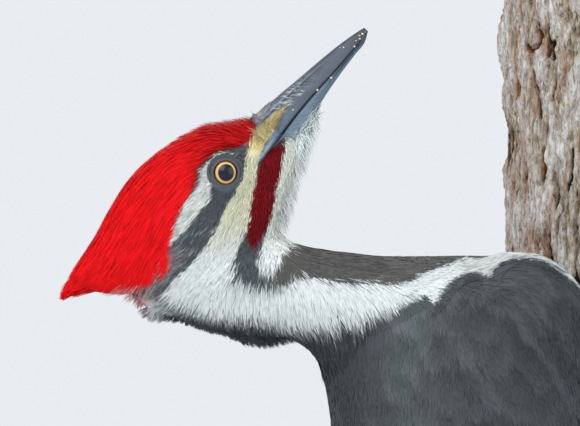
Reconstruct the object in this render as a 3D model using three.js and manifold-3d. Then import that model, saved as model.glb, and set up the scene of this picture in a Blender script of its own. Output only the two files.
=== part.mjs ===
// A life-size pileated woodpecker clinging to a short upright log on a plain display stand.
// The bird is a still model: it leans its neck back and lifts its bill. Millimetres, +Z up.
// The frame's origin is on the log's axis, at the underside of the stand's base.
import * as THREE from "three";
import { mergeVertices } from "three/addons/utils/BufferGeometryUtils.js";
import Module from "manifold-3d";

const wasm = await Module();
wasm.setup();

// Driving dimensions, in millimetres and degrees.
const GAP = 0.3; // air between touching pieces
const BASE = { radius: 128, height: 18, edge: 3 };
const ROD = { radius: 7, spread: 76 };
const LOG = { radius: 85, bottom: 50, top: 512, plates: 9, furrow: 4.5, swell: 1.6 };
const BIRD_YAW = 45; // the side of the log that the bird clings to, turned from +X
const BILL_TIP = new THREE.Vector3(-135.4, -112, 477.6);
const HEAD_PITCH = 50; // how far the bill points above level
const EYE = { back: 71.1, up: 7.1, side: 11.2, radius: 5.6 };
const TAIL = { root: 196, tip: 70 };
const HIP = { out: 126, side: 20, height: 250 };
const HEEL = { out: 103, side: 33, height: 236 };
const FOOT = { angle: 27, height: 262, lift: 4.6 };
const TOE = { radius: 2.1, lift: 2.6 };
const CLAW = { radius: 1.5, arch: 5.5, tip: 0.28 };
// Headings are turned from straight up the log to the outside of the foot.
const TOES = [
  { name: "inner", heading: -16, length: 21, claw: 11 },
  { name: "middle", heading: 8, length: 27, claw: 11 },
  { name: "outer", heading: 62, length: 25, claw: 11 },
  { name: "hind", heading: 138, length: 13, claw: 8 },
];

// Head sections from the bill's tip backwards: back, top, bottom, half width.
const SKULL = [
  [40, 8, -4.5, 4],
  [45.5, 12.3, -9.4, 8.2],
  [50, 13.2, -11.6, 9.8],
  [56, 15.2, -14.4, 11.6],
  [64, 21.5, -17.5, 14.2],
  [72, 25.6, -21, 15.8],
  [82, 28, -25.5, 16.6],
  [92, 28.4, -29, 16.6],
  [102, 25.5, -31, 15.6],
  [112, 18.5, -28, 13.4],
  [120, 10, -19, 10.2],
  [126.5, 0.5, -7.5, 5],
];
const CHIN = [
  [31.5, -3.4, -4.6, 2.6],
  [36, -2.2, -6.2, 4.8],
  [44, -1.6, -9.6, 6.6],
  [55, -1.5, -14, 8.6],
];
const CREST = [
  [47, 10.6, 6, 4],
  [55, 16.6, 6, 9.4],
  [63, 23.8, 8, 12.4],
  [72, 28.6, 6, 13.8],
  [83, 32.2, 4, 13.8],
  [95, 33.6, 2, 12.8],
  [107, 32, 0, 11.2],
  [118, 29.7, -1, 9.4],
  [127, 27.7, 5.5, 7.2],
  [133, 26.7, 15, 4.6],
  [138.5, 26, 22, 2.5],
  [144.5, 25.2, 22.6, 1.2],
];
const BILL = [
  [-0.9, 2.7, 0.9, 0.8],
  [2.6, 3.7, -0.7, 1.5],
  [9, 5.5, -1, 2.7],
  [18, 7.3, -1.4, 4],
  [28, 9, -2.4, 5.4],
  [38, 10.8, -4.2, 6.6],
  [48, 12, -6.4, 7.6],
  [57, 11, -7, 7.4],
];

// Neck sections from the nape to the shoulders: order, x, z, y, half depth, half width, lean in degrees.
const NECK = [
  [0, -206, 408, -112, 14, 12, 60],
  [1, -202, 398, -112, 20, 15.5, 48],
  [2, -191, 391.4, -112, 21.4, 17, 26],
  [3, -177, 386.4, -112, 20.6, 17.4, 8],
  [4, -164, 385.4, -111.5, 19.2, 17.2, 0],
  [5, -152, 381.5, -110.5, 20.5, 18.2, -6],
  [6, -138, 377.6, -108, 23, 22.5, -8],
  [7, -123, 371, -105, 28, 28, -5],
  [8, -106, 365, -103, 33, 32, 0],
];

// Body sections: height, distance of the centre line from the log's axis, half depth, half width.
const BODY = [
  [184, 109.5, 5, 13],
  [194, 112.5, 12, 19.5],
  [212, 118.5, 21.5, 27],
  [236, 126.5, 31, 34.5],
  [266, 134.5, 38, 40.5],
  [300, 139.6, 41, 43.4],
  [334, 142.6, 42.2, 44.2],
  [358, 145.3, 45, 46.5],
  [376, 144, 40.5, 43],
  [388, 142.5, 32, 36],
  [395.5, 141, 20, 24],
  [399, 140.5, 7, 9],
];
// What the folded wings follow: the rump drawn out over the tail, the body, then the squarer shoulders.
const SHEATH = [
  [150, 106.5, 5, 14],
  [165, 108.5, 7, 17],
  [184, 111.5, 11, 22],
  [200, 115.5, 16, 25.5],
  ...BODY.slice(2, 8),
  [376, 144, 42.5, 45],
  [388, 143.5, 38, 41.5],
  [399.2, 143, 26, 30],
];
// Folded wing: height, the angle of its edge at the back, that of its front edge, thickness.
const WING = [
  [152, 2.5, 24, 1.2],
  [166, 2, 36, 2],
  [184, 2, 48, 2.6],
  [206, 4, 62, 3.2],
  [236, 8, 76, 4],
  [270, 14, 88, 4.8],
  [306, 22, 99, 5.6],
  [340, 31, 110, 6.4],
  [366, 40, 120, 7],
  [382, 50, 126, 6.2],
  [393, 64, 121, 4.2],
  [399.2, 84, 101, 1.4],
];
const RUMP_HEIGHT = 236; // below this the wings lie over the rump and the tail
// Tail: share of its length, distance from the log's axis, half width, thickness.
const TAIL_SECTIONS = [
  [0, 113, 15, 12],
  [0.16, 108, 21, 8],
  [0.4, 103, 28, 5.5],
  [0.65, 98.5, 30, 4],
  [0.85, 92.6, 24, 3],
  [1, 88.2, 9, 2],
];

// The bird's own directions. The log's axis is ahead of its belly, and left is the bird's left side.
const yaw = THREE.MathUtils.degToRad(BIRD_YAW);
const dorsal = new THREE.Vector3(-Math.cos(yaw), -Math.sin(yaw), 0);
const left = new THREE.Vector3(-Math.sin(yaw), Math.cos(yaw), 0);

// The head's directions: back along the bill, up through the crown, and out to the side.
const pitch = THREE.MathUtils.degToRad(HEAD_PITCH);
const headBack = new THREE.Vector3(-Math.cos(pitch), 0, -Math.sin(pitch));
const headUp = new THREE.Vector3(-Math.sin(pitch), 0, Math.cos(pitch));
const headSide = new THREE.Vector3(0, 1, 0);

const materialOf = (color, roughness, metalness = 0) =>
  new THREE.MeshStandardMaterial({ color, roughness, metalness });
const slateBlack = materialOf(0x33383a, 0.8);
const wingBlack = materialOf(0x2b2f31, 0.7);
const neckWhite = materialOf(0xdfe4e2, 0.85);
const crestRed = materialOf(0xd01c1f, 0.75);
const hornGrey = materialOf(0x5a6470, 0.45);
const eyeAmber = materialOf(0xe0a85a, 0.1);
const legGrey = materialOf(0x565b60, 0.6);
const barkBrown = materialOf(0x9a8676, 0.95);
const standWood = materialOf(0x4a3a2e, 0.5);
const steel = materialOf(0xb8babc, 0.35, 1);

const spread = (count, from, to) =>
  Array.from({ length: count }, (_, i) => from + ((to - from) * i) / (count - 1));

// A smooth curve through rows of numbers: the first column is the place along it, the rest its values.
function through(rows) {
  const last = rows.length - 1;
  const slopeAt = (k, column) => {
    const before = rows[Math.max(k - 1, 0)];
    const after = rows[Math.min(k + 1, last)];
    return (after[column] - before[column]) / (after[0] - before[0]);
  };
  return (place) => {
    let i = 0;
    while (i < last - 1 && place > rows[i + 1][0]) i += 1;
    const step = rows[i + 1][0] - rows[i][0];
    const s = THREE.MathUtils.clamp((place - rows[i][0]) / step, 0, 1);
    return rows[i].slice(1).map((value, k) => {
      const [here, next] = [slopeAt(i, k + 1) * step, slopeAt(i + 1, k + 1) * step];
      const rise = 3 * s ** 2 - 2 * s ** 3;
      const ease = (s ** 3 - 2 * s ** 2 + s) * here + (s ** 3 - s ** 2) * next;
      return value + (rows[i + 1][k + 1] - value) * rise + ease;
    });
  };
}

// A geometry as a manifold solid with its faces pointing out.
function solidOf(geometry) {
  const bare = geometry.clone();
  bare.deleteAttribute("normal");
  bare.deleteAttribute("uv");
  const merged = mergeVertices(bare, 1e-4);
  const vertProperties = merged.attributes.position.array;
  const triVerts = new Uint32Array(merged.index.array);
  const made = new wasm.Manifold(new wasm.Mesh({ numProp: 3, vertProperties, triVerts }));
  if (made.volume() > 0) return made;
  for (let i = 0; i < triVerts.length; i += 3) {
    [triVerts[i + 1], triVerts[i + 2]] = [triVerts[i + 2], triVerts[i + 1]];
  }
  return new wasm.Manifold(new wasm.Mesh({ numProp: 3, vertProperties, triVerts }));
}

// A closed solid through rings of points, with a fan at each end.
function solidOfRings(rings) {
  const around = rings[0].length;
  const points = rings.flat();
  const faces = [];
  for (let r = 0; r < rings.length - 1; r += 1) {
    for (let k = 0; k < around; k += 1) {
      const next = (k + 1) % around;
      const [a, b] = [r * around + k, r * around + next];
      faces.push(a, b, b + around, a, b + around, a + around);
    }
  }
  for (const ring of [0, rings.length - 1]) {
    const centre = rings[ring].reduce((sum, p) => sum.add(p), new THREE.Vector3()).divideScalar(around);
    points.push(centre);
    for (let k = 0; k < around; k += 1) {
      const pair = [ring * around + k, ring * around + ((k + 1) % around)];
      if (ring === 0) pair.reverse();
      faces.push(...pair, points.length - 1);
    }
  }
  return solidOf(new THREE.BufferGeometry().setFromPoints(points).setIndex(faces));
}

// An oval ring: high and wide are half its sizes, along two directions. Roundness 2 is an ellipse.
function oval(centre, high, highWay, wide, wideWay, around, roundness = 2) {
  const power = 2 / roundness;
  const stretch = (value) => Math.sign(value) * Math.abs(value) ** power;
  return Array.from({ length: around }, (_, k) => {
    const angle = (k / around) * 2 * Math.PI;
    return centre
      .clone()
      .addScaledVector(highWay, high * stretch(Math.cos(angle)))
      .addScaledVector(wideWay, wide * stretch(Math.sin(angle)));
  });
}

// A tube through points, whose radius is given at each one.
function limb(points, radii, sides) {
  const curve = new THREE.CatmullRomCurve3(points);
  const radiusAt = through(radii.map((radius, i) => [i / (radii.length - 1), radius]));
  const steps = points.length + 1;
  const { normals, binormals } = curve.computeFrenetFrames(steps, false);
  const rings = spread(steps + 1, 0, 1).map((share, i) => {
    const [radius] = radiusAt(share);
    return oval(curve.getPointAt(share), radius, normals[i], radius, binormals[i], sides);
  });
  return solidOfRings(rings);
}

// A place in the head's frame: back from the bill's tip, up towards the crown and out to the left.
function inHead(back, rise, side = 0) {
  return BILL_TIP.clone()
    .addScaledVector(headBack, back)
    .addScaledVector(headUp, rise)
    .addScaledVector(headSide, side);
}

function headLoft(rows, rings, around, grow = 0, roundness = 2) {
  const sizeAt = through(rows);
  return solidOfRings(
    spread(rings, rows[0][0] - grow, rows.at(-1)[0] + grow).map((back) => {
      const [top, bottom, half] = sizeAt(back);
      const high = (top - bottom) / 2 + grow;
      return oval(inHead(back, (top + bottom) / 2), high, headUp, half + grow, headSide, around, roundness);
    }),
  );
}

function neckLoft(rings, around, grow = 0) {
  const sectionAt = through(NECK);
  return solidOfRings(
    spread(rings, 0, NECK.length - 1).map((place) => {
      const [x, z, y, depth, width, lean] = sectionAt(place);
      const angle = THREE.MathUtils.degToRad(lean);
      const high = new THREE.Vector3(Math.sin(angle), 0, Math.cos(angle));
      return oval(new THREE.Vector3(x, y, z), depth + grow, high, width + grow, headSide, around);
    }),
  );
}

// A place on a body section, at an angle from the middle of the back round to one side.
function onBody([distance, depth, width], height, degrees, proud = 0, side = 1) {
  const angle = THREE.MathUtils.degToRad(degrees);
  return dorsal
    .clone()
    .multiplyScalar(distance + (depth + proud) * Math.cos(angle))
    .addScaledVector(left, side * (width + proud) * Math.sin(angle))
    .setZ(height);
}

function bodyLoft(around, grow = 0) {
  const middle = BODY.length / 2;
  return solidOfRings(
    BODY.map(([height, ...section], i) => {
      const level = height + Math.sign(i - middle) * grow;
      return Array.from({ length: around }, (_, k) => onBody(section, level, (k / around) * 360, grow));
    }),
  );
}

// A folded wing. Its inner side reaches into the body and is trimmed to the flesh later.
function wingLoft(side, across) {
  const sheathAt = through(SHEATH);
  return solidOfRings(
    WING.map(([height, backEdge, frontEdge, thick]) => {
      const depthInside = THREE.MathUtils.mapLinear(height, RUMP_HEIGHT, WING.at(-1)[0], 1, 14);
      const inside = height > RUMP_HEIGHT ? -depthInside : GAP;
      const at = (share, proud) =>
        onBody(sheathAt(height), height, THREE.MathUtils.lerp(backEdge, frontEdge, share), proud, side);
      const crown = (share) => Math.sin(Math.PI * THREE.MathUtils.clamp(share, 0.04, 0.96)) ** 0.45;
      const outer = spread(across, 0, 1).map((share) => at(share, 1 + thick * crown(share)));
      const inner = spread(across, 1, 0).map((share) => at(share, inside));
      return [...outer, ...inner];
    }),
  );
}

function tailLoft(rings, around, grow = 0) {
  const tailAt = through(TAIL_SECTIONS);
  return solidOfRings(
    spread(rings, 0, 1).map((share) => {
      const [distance, width, thick] = tailAt(share);
      const centre = dorsal.clone().multiplyScalar(distance);
      centre.setZ(THREE.MathUtils.lerp(TAIL.root, TAIL.tip, share));
      return oval(centre, thick / 2 + grow, dorsal, width + grow, left, around, 2.4);
    }),
  );
}

// Bark: a cylinder cut by upright furrows that wander a little.
function barkRadius(angle, height) {
  const wander = 0.16 * Math.sin(height / 47) + 0.09 * Math.sin(height / 19 + 2 * angle);
  const furrow = Math.max(0, Math.cos(LOG.plates * (angle + wander))) ** 3;
  return LOG.radius - LOG.furrow * furrow + LOG.swell * (Math.sin(height / 83 + 3 * angle) - 1);
}

function logLoft(rings, around) {
  return solidOfRings(
    spread(rings, LOG.bottom, LOG.top).map((height) =>
      Array.from({ length: around }, (_, k) => {
        const angle = (k / around) * 2 * Math.PI;
        const radius = barkRadius(angle, height);
        return new THREE.Vector3(radius * Math.cos(angle), radius * Math.sin(angle), height);
      }),
    ),
  );
}

// A place over the bark: an angle round the log from the bird's middle, positive to its left.
function overBark(degrees, height, lift) {
  const angle = yaw + Math.PI - THREE.MathUtils.degToRad(degrees);
  const radius = LOG.radius + lift;
  return new THREE.Vector3(radius * Math.cos(angle), radius * Math.sin(angle), height);
}

// A place along a toe's line over the bark, for one side of the bird.
function alongToe(side, heading, distance, lift) {
  const turn = THREE.MathUtils.degToRad(heading);
  const arc = THREE.MathUtils.radToDeg((distance * Math.sin(turn)) / LOG.radius);
  return overBark(side * (FOOT.angle + arc), FOOT.height + distance * Math.cos(turn), lift);
}

function footSolid(side) {
  const toes = TOES.map(({ heading, length }) => {
    const at = (share, lift) => alongToe(side, heading, length * share, lift);
    const points = [at(-0.05, FOOT.lift), at(0.35, TOE.lift + 1.2), at(0.7, TOE.lift), at(1, TOE.lift + 1)];
    return limb(points, [2.5, TOE.radius, TOE.radius * 0.92, TOE.radius * 0.8], 6);
  });
  return toes.reduce((joined, toe) => joined.add(toe));
}

// A claw rises out of the toe, arches over and bites the bark with its tip.
function clawSolid(side, { heading, length, claw }) {
  const at = (distance, lift) => alongToe(side, heading, length + distance, lift);
  const points = [
    at(-1.5, TOE.lift + 1),
    at(claw * 0.35, CLAW.arch),
    at(claw * 0.75, CLAW.arch * 0.72),
    at(claw, 0.5),
  ];
  return limb(points, [CLAW.radius, CLAW.radius * 0.85, CLAW.radius * 0.6, CLAW.tip], 5);
}

// A leg: the feathered thigh out of the belly, then the bare shank up to the foot.
function legSolid(side) {
  const place = ({ out, side: aside, height }) =>
    dorsal.clone().multiplyScalar(out).addScaledVector(left, side * aside).setZ(height);
  const [hip, heel] = [place(HIP), place(HEEL)];
  const ankle = overBark(side * FOOT.angle, FOOT.height - 1, FOOT.lift + 1.4);
  const thighPoints = [hip, hip.clone().lerp(heel, 0.5), hip.clone().lerp(heel, 0.8), heel];
  const shank = limb([heel, heel.clone().lerp(ankle, 0.5), ankle], [3, 2.3, 2.5], 6);
  return limb(thighPoints, [10, 8.6, 5.6, 3.2], 8).add(shank);
}

// Everything on one side of a plane that holds the head's side direction, as a large box.
// Side 1 is on the left hand of the run from one place to the other, seen from the bird's right.
function beside([from, to], side) {
  const size = 700;
  const along = to.clone().sub(from).setY(0).normalize();
  const away = new THREE.Vector3(-along.z, 0, along.x);
  const box = new THREE.BoxGeometry(size, size, size);
  box.translate(0, 0, side * (size / 2 + GAP / 2));
  box.applyMatrix4(new THREE.Matrix4().makeBasis(along, headSide, away));
  box.translate(from.x, from.y, from.z);
  return solidOf(box);
}

const eyeBall = (radius) => solidOf(new THREE.SphereGeometry(radius, 14, 9).rotateX(Math.PI / 2));
const eyePlace = (side) => inHead(EYE.back, EYE.up, side * EYE.side);

// The base is a turned disc with a rounded top edge.
function baseSolid() {
  const { radius, height, edge } = BASE;
  const corner = spread(3, 0, Math.PI / 2).map(
    (angle) => [radius - edge + edge * Math.cos(angle), height - edge + edge * Math.sin(angle)],
  );
  const profile = [[0, 0], [radius - 1, 0], [radius, 1], ...corner, [0, height]];
  const turned = new THREE.LatheGeometry(profile.map(([x, y]) => new THREE.Vector2(x, y)), 36);
  return solidOf(turned.rotateX(Math.PI / 2));
}

// A mesh from the largest piece of a solid, so that a cut leaves no crumbs.
function meshOf(name, solid, material, place = new THREE.Vector3()) {
  const body = solid.decompose().reduce((best, piece) => (piece.volume() > best.volume() ? piece : best));
  const { numVert, vertProperties, triVerts } = body.getMesh();
  const geometry = new THREE.BufferGeometry()
    .setAttribute("position", new THREE.BufferAttribute(vertProperties.slice(0, numVert * 3), 3))
    .setIndex(new THREE.BufferAttribute(triVerts, 1));
  geometry.computeVertexNormals();
  const mesh = new THREE.Mesh(geometry, material);
  mesh.name = name;
  mesh.position.copy(place);
  return mesh;
}

// The flesh is one solid, parted by planes into the bird's regions. Eyes, bill and tail are let into it.
const eyeRoom = eyeBall(EYE.radius + GAP);
const bill = headLoft(BILL, 9, 12, 0, 1.8);
const tail = tailLoft(9, 12);
const flesh = headLoft(SKULL, 13, 18)
  .add(headLoft(CHIN, 5, 10))
  .add(headLoft(CREST, 13, 14))
  .add(neckLoft(11, 16))
  .add(bodyLoft(24))
  .subtract(headLoft(BILL, 9, 12, GAP, 1.8))
  .subtract(eyeRoom.translate(eyePlace(1).toArray()))
  .subtract(eyeRoom.translate(eyePlace(-1).toArray()))
  .subtract(tailLoft(9, 12, GAP));
const fleshRoom = bodyLoft(24, GAP).add(neckLoft(11, 16, GAP)).add(tailLoft(9, 12, GAP));
const gape = [inHead(0, 0.8), inHead(60, 0.8)];
const crestLine = [inHead(50, 16), inHead(130, 5)];
const nape = [new THREE.Vector3(-217, 0, 380), new THREE.Vector3(-163.5, 0, 408.5)];
const neckBase = [new THREE.Vector3(-156, 0, 362), new THREE.Vector3(-117, 0, 400)];
const headFlesh = flesh.intersect(beside(nape, 1));
const lowerFlesh = flesh.intersect(beside(nape, -1));

const bird = new THREE.Group();
bird.add(
  meshOf("head", headFlesh.intersect(beside(crestLine, 1)), neckWhite),
  meshOf("crest", headFlesh.intersect(beside(crestLine, -1)), crestRed),
  meshOf("bill_upper", bill.intersect(beside(gape, -1)), hornGrey),
  meshOf("bill_lower", bill.intersect(beside(gape, 1)), hornGrey),
  meshOf("neck", lowerFlesh.intersect(beside(neckBase, 1)), neckWhite),
  meshOf("trunk", lowerFlesh.intersect(beside(neckBase, -1)), slateBlack),
  meshOf("tail", tail, wingBlack),
);
for (const [name, side] of [["right", -1], ["left", 1]]) {
  const foot = footSolid(side);
  bird.add(
    meshOf(`eye_${name}`, eyeBall(EYE.radius), eyeAmber, eyePlace(side)),
    meshOf(`wing_${name}`, wingLoft(side, 6).subtract(fleshRoom), wingBlack),
    meshOf(`leg_${name}`, legSolid(side).subtract(fleshRoom).subtract(foot), legGrey),
    meshOf(`foot_${name}`, foot, legGrey),
  );
  for (const toe of TOES) {
    bird.add(meshOf(`claw_${name}_${toe.name}`, clawSolid(side, toe).subtract(foot), hornGrey));
  }
}

const stand = new THREE.Group();
const rodLength = LOG.bottom - BASE.height - 2 * GAP;
const rod = solidOf(new THREE.CylinderGeometry(ROD.radius, ROD.radius, rodLength, 16).rotateX(Math.PI / 2));
const rodPlace = (x) => new THREE.Vector3(x, 0, (BASE.height + LOG.bottom) / 2);
stand.add(
  meshOf("stand_base", baseSolid(), standWood),
  meshOf("stand_rod_bird_side", rod, steel, rodPlace(-ROD.spread / 2)),
  meshOf("stand_rod_far_side", rod, steel, rodPlace(ROD.spread / 2)),
);

const woodpecker = new THREE.Group();
woodpecker.add(bird, meshOf("perch_log", logLoft(9, 52), barkBrown), stand);

export default woodpecker;
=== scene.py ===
import functools
import math

import bmesh
import bpy
import numpy as np
from mathutils import Matrix, Vector
from mathutils.bvhtree import BVHTree
from mathutils.kdtree import KDTree


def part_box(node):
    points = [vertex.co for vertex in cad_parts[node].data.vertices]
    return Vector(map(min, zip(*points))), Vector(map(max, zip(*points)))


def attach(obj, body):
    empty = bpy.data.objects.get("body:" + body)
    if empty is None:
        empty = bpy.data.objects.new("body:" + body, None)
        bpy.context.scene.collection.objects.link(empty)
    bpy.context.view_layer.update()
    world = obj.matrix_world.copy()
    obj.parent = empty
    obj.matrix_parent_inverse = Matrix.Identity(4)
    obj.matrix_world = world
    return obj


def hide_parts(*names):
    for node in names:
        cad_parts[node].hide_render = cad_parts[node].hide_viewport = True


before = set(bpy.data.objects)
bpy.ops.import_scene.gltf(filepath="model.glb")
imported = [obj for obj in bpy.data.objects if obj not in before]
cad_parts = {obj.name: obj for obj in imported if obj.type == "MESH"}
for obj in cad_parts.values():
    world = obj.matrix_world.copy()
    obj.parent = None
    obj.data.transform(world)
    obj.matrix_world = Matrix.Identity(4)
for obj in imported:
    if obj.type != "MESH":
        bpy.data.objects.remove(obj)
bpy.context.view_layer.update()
metre = 1000.0  # millimetres in a metre
rng = np.random.default_rng(11)


def boxMiddle(node):
    low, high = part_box(node)
    return np.array((low + high) / 2) * metre


# The eyes give the head's middle plane. The bill points up from level by its pitch, and its tip is
# ahead of the eyes and below them. The bird clings to one side of the log, turned by its yaw.
pose = dict(pitch=50, yaw=45, tipAhead=71.1, tipBelow=7.1)
headMiddle = (boxMiddle("eye_right") + boxMiddle("eye_left")) / 2
eyeSide = abs(boxMiddle("eye_right")[1] - headMiddle[1])
eyeRadius = (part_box("eye_right")[1].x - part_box("eye_right")[0].x) / 2 * metre
headPitch, birdYaw = math.radians(pose["pitch"]), math.radians(pose["yaw"])
headBack = np.array([-math.cos(headPitch), 0, -math.sin(headPitch)])
headUp = np.array([-math.sin(headPitch), 0, math.cos(headPitch)])
headSide = np.array([0, 1.0, 0])
upright = np.array([0, 0, 1.0])
billTip = headMiddle - headBack * pose["tipAhead"] - headUp * pose["tipBelow"]
dorsal = np.array([-math.cos(birdYaw), -math.sin(birdYaw), 0])  # from the log's axis to the back
leftWay = np.array([-math.sin(birdYaw), math.cos(birdYaw), 0])
sides = (("right", -1), ("left", 1))


def unit(v):
    return v / np.maximum(np.linalg.norm(v, axis=-1, keepdims=True), 1e-9)


def alongSkin(way, out, share=1.0):  # a direction laid flat on a surface, wholly or in part
    return unit(way - out * (way * out).sum(-1, keepdims=True) * share)


def ease(low, high, x):
    t = np.clip((x - low) / (high - low), 0, 1)
    return t * t * (3 - 2 * t)


def ripple(points, size, seed, waves=7):  # soft noise from -1 to 1, its lumps about size across
    draw = np.random.default_rng(seed)
    ways = unit(draw.normal(size=(waves, 3))) * draw.uniform(0.6, 1.7, (waves, 1))
    turns = points @ ways.T * (2 * math.pi / size) + draw.uniform(0, 2 * math.pi, waves)
    return np.clip(np.sin(turns).mean(1) * 1.7, -1, 1)


def linear(hexColour):  # sRGB hex to linear red, green and blue
    parts = [int(hexColour[i : i + 2], 16) / 255 for i in (1, 3, 5)]
    return np.array([c / 12.92 if c <= 0.04045 else ((c + 0.055) / 1.055) ** 2.4 for c in parts])


def colour(hexColour):
    return (*linear(hexColour), 1.0)


def grey(level):
    return (level, level, level, 1)


def feed(tree, made, inputs):  # a socket is linked, and anything else is set on the input
    for key, value in inputs.items():
        if isinstance(value, bpy.types.NodeSocket):
            tree.links.new(value, made.inputs[key])
        else:
            made.inputs[key].default_value = value


def setRamp(ramp, stops):
    band = ramp.color_ramp
    while len(band.elements) < len(stops):
        band.elements.new(0.5)
    for element, (place, shade) in zip(band.elements, stops):
        element.position = place
        element.color = shade


def addNode(tree, kind, inputs=None, output=0, stops=(), **settings):  # gives one of its outputs
    made = tree.nodes.new("ShaderNode" + kind)
    for key, value in settings.items():
        setattr(made, key, value)
    feed(tree, made, inputs or {})
    if stops:
        setRamp(made, stops)
    return made.outputs[output]


def newMaterial(name):  # a material, and what adds a node to it
    material = bpy.data.materials.new(name)
    material.use_nodes = True
    return material, functools.partial(addNode, material.node_tree)


def dress(material, inputs):  # what the material's shader is given
    tree = material.node_tree
    feed(tree, tree.nodes["Principled BSDF"], inputs)


def dyedMaterial(name, roughness, specular, sheen=0.0):  # takes its colours from the piece itself
    material, node = newMaterial(name)
    dress(material, {
        "Base Color": node("Attribute", attribute_name="plumage"), "Roughness": roughness,
        "Specular IOR Level": specular, "Sheen Weight": sheen,
    })
    return material


def inScene(name, data):
    made = bpy.data.objects.new(name, data)
    bpy.context.scene.collection.objects.link(made)
    return made


def addPiece(name, mesh, material, replaced=()):
    piece = inScene(name, mesh)
    mesh.materials.clear()
    mesh.materials.append(material)
    mesh.shade_smooth()
    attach(piece, "root")
    if replaced:
        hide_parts(*replaced)
    return piece


def meshFrom(build, name):
    mesh = bpy.data.meshes.new(name)
    build.to_mesh(mesh)
    build.free()
    return mesh


def meshOfArrays(name, points, triangles):
    mesh = bpy.data.meshes.new(name)
    mesh.vertices.add(len(points))
    mesh.vertices.foreach_set("co", (points / metre).astype(np.float32).ravel())
    mesh.loops.add(len(triangles) * 3)
    mesh.loops.foreach_set("vertex_index", triangles.astype(np.int32).ravel())
    mesh.polygons.add(len(triangles))
    mesh.polygons.foreach_set("loop_start", np.arange(0, len(triangles) * 3, 3, dtype=np.int32))
    mesh.update(calc_edges=True)
    mesh.validate()
    return mesh


def vectorsOf(mesh, kind):
    found = np.empty(len(mesh.vertices) * 3, np.float32)
    mesh.vertices.foreach_get(kind, found)
    return found.reshape(-1, 3).astype(float)


def pointsOf(mesh):
    return vectorsOf(mesh, "co") * metre


def normalsOf(mesh):
    return vectorsOf(mesh, "normal")


def movePoints(mesh, points):
    mesh.vertices.foreach_set("co", (points / metre).astype(np.float32).ravel())
    mesh.update()


def setColours(mesh, shades):
    layer = mesh.color_attributes.new("plumage", "FLOAT_COLOR", "POINT")
    rgba = np.ones((len(shades), 4), np.float32)
    rgba[:, :3] = shades
    layer.data.foreach_set("color", rgba.ravel())


def setAmounts(mesh, name, amounts):  # one number for each point
    layer = mesh.attributes.new(name, "FLOAT", "POINT")
    layer.data.foreach_set("value", amounts.ravel().astype(np.float32))


def through(rows, places):  # a smooth curve through rows, read at places along their first column
    rows = np.array(rows, float)
    along, values = rows[:, 0], rows[:, 1:]
    slopes = np.gradient(values, along, axis=0)
    i = np.clip(np.searchsorted(along, places, side="right") - 1, 0, len(along) - 2)
    step = (along[i + 1] - along[i])[:, None]
    s = np.clip((places - along[i])[:, None] / step, 0, 1)
    rise = 3 * s**2 - 2 * s**3
    bent = (s**3 - 2 * s**2 + s) * step * slopes[i] + (s**3 - s**2) * step * slopes[i + 1]
    return values[i] + (values[i + 1] - values[i]) * rise + bent


def tube(name, rings):  # a closed skin through rings of points, drawn out ring by ring from a circle
    build = bmesh.new()
    bmesh.ops.create_circle(build, segments=len(rings[0]), radius=1)
    ring = list(build.verts)
    edges = list(build.edges)
    rows = [ring]
    for _ in rings[1:]:
        grown = bmesh.ops.extrude_edge_only(build, edges=edges)["geom"]
        fresh = {g for g in grown if isinstance(g, bmesh.types.BMVert)}
        ring = [next(e.other_vert(v) for e in v.link_edges if e.other_vert(v) in fresh) for v in ring]
        edges = [g for g in grown if isinstance(g, bmesh.types.BMEdge) and set(g.verts) <= fresh]
        rows.append(ring)
    for row, places in zip(rows, rings):
        for vert, place in zip(row, places):
            vert.co = place / metre
    for row in (rows[0], rows[-1]):
        bmesh.ops.contextual_create(build, geom=row)
    bmesh.ops.recalc_face_normals(build, faces=build.faces)
    # Points and faces are put in order, ring by ring, so that every run strews the same feathers.
    for rank, vert in enumerate(vert for row in rows for vert in row):
        vert.index = rank
    build.verts.sort()
    size = len(build.verts)

    def rankOf(face):
        ranks = [vert.index for vert in face.verts]
        return min(ranks) * size + max(ranks)

    build.faces.sort(key=rankOf)
    return meshFrom(build, name)


def turned(profile, axis, steps):  # a profile in the plane y = 0, spun once round an axis
    build = bmesh.new()
    rim = [build.verts.new(Vector((x / metre, 0, z / metre))) for x, z in profile]
    edges = [build.edges.new(pair) for pair in zip(rim, rim[1:])]
    bmesh.ops.spin(
        build, geom=rim + edges, cent=(0, 0, 0), axis=axis, angle=2 * math.pi, steps=steps,
        use_merge=True,
    )
    return build


def bevelled(build, sharp, width):
    edges = [e for e in build.edges if e.is_manifold and e.calc_face_angle() > sharp]
    bmesh.ops.bevel(
        build, geom=edges, affect="EDGES", offset=width / metre, segments=2, profile=0.5, material=-1
    )


def joinedCopy(nodes, grow=0.0):  # the merged shells of some CAD nodes, each pushed out a little
    shell = bmesh.new()
    for node in nodes:
        part = bmesh.new()
        part.from_mesh(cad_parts[node].data)
        bmesh.ops.remove_doubles(part, verts=part.verts, dist=0.00002)
        bmesh.ops.recalc_face_normals(part, faces=part.faces)
        part.normal_update()
        for vert in part.verts:
            vert.co += vert.normal * grow / metre
        mesh = meshFrom(part, "part")
        shell.from_mesh(mesh)
        bpy.data.meshes.remove(mesh)
    return meshFrom(shell, "shell")


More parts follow.
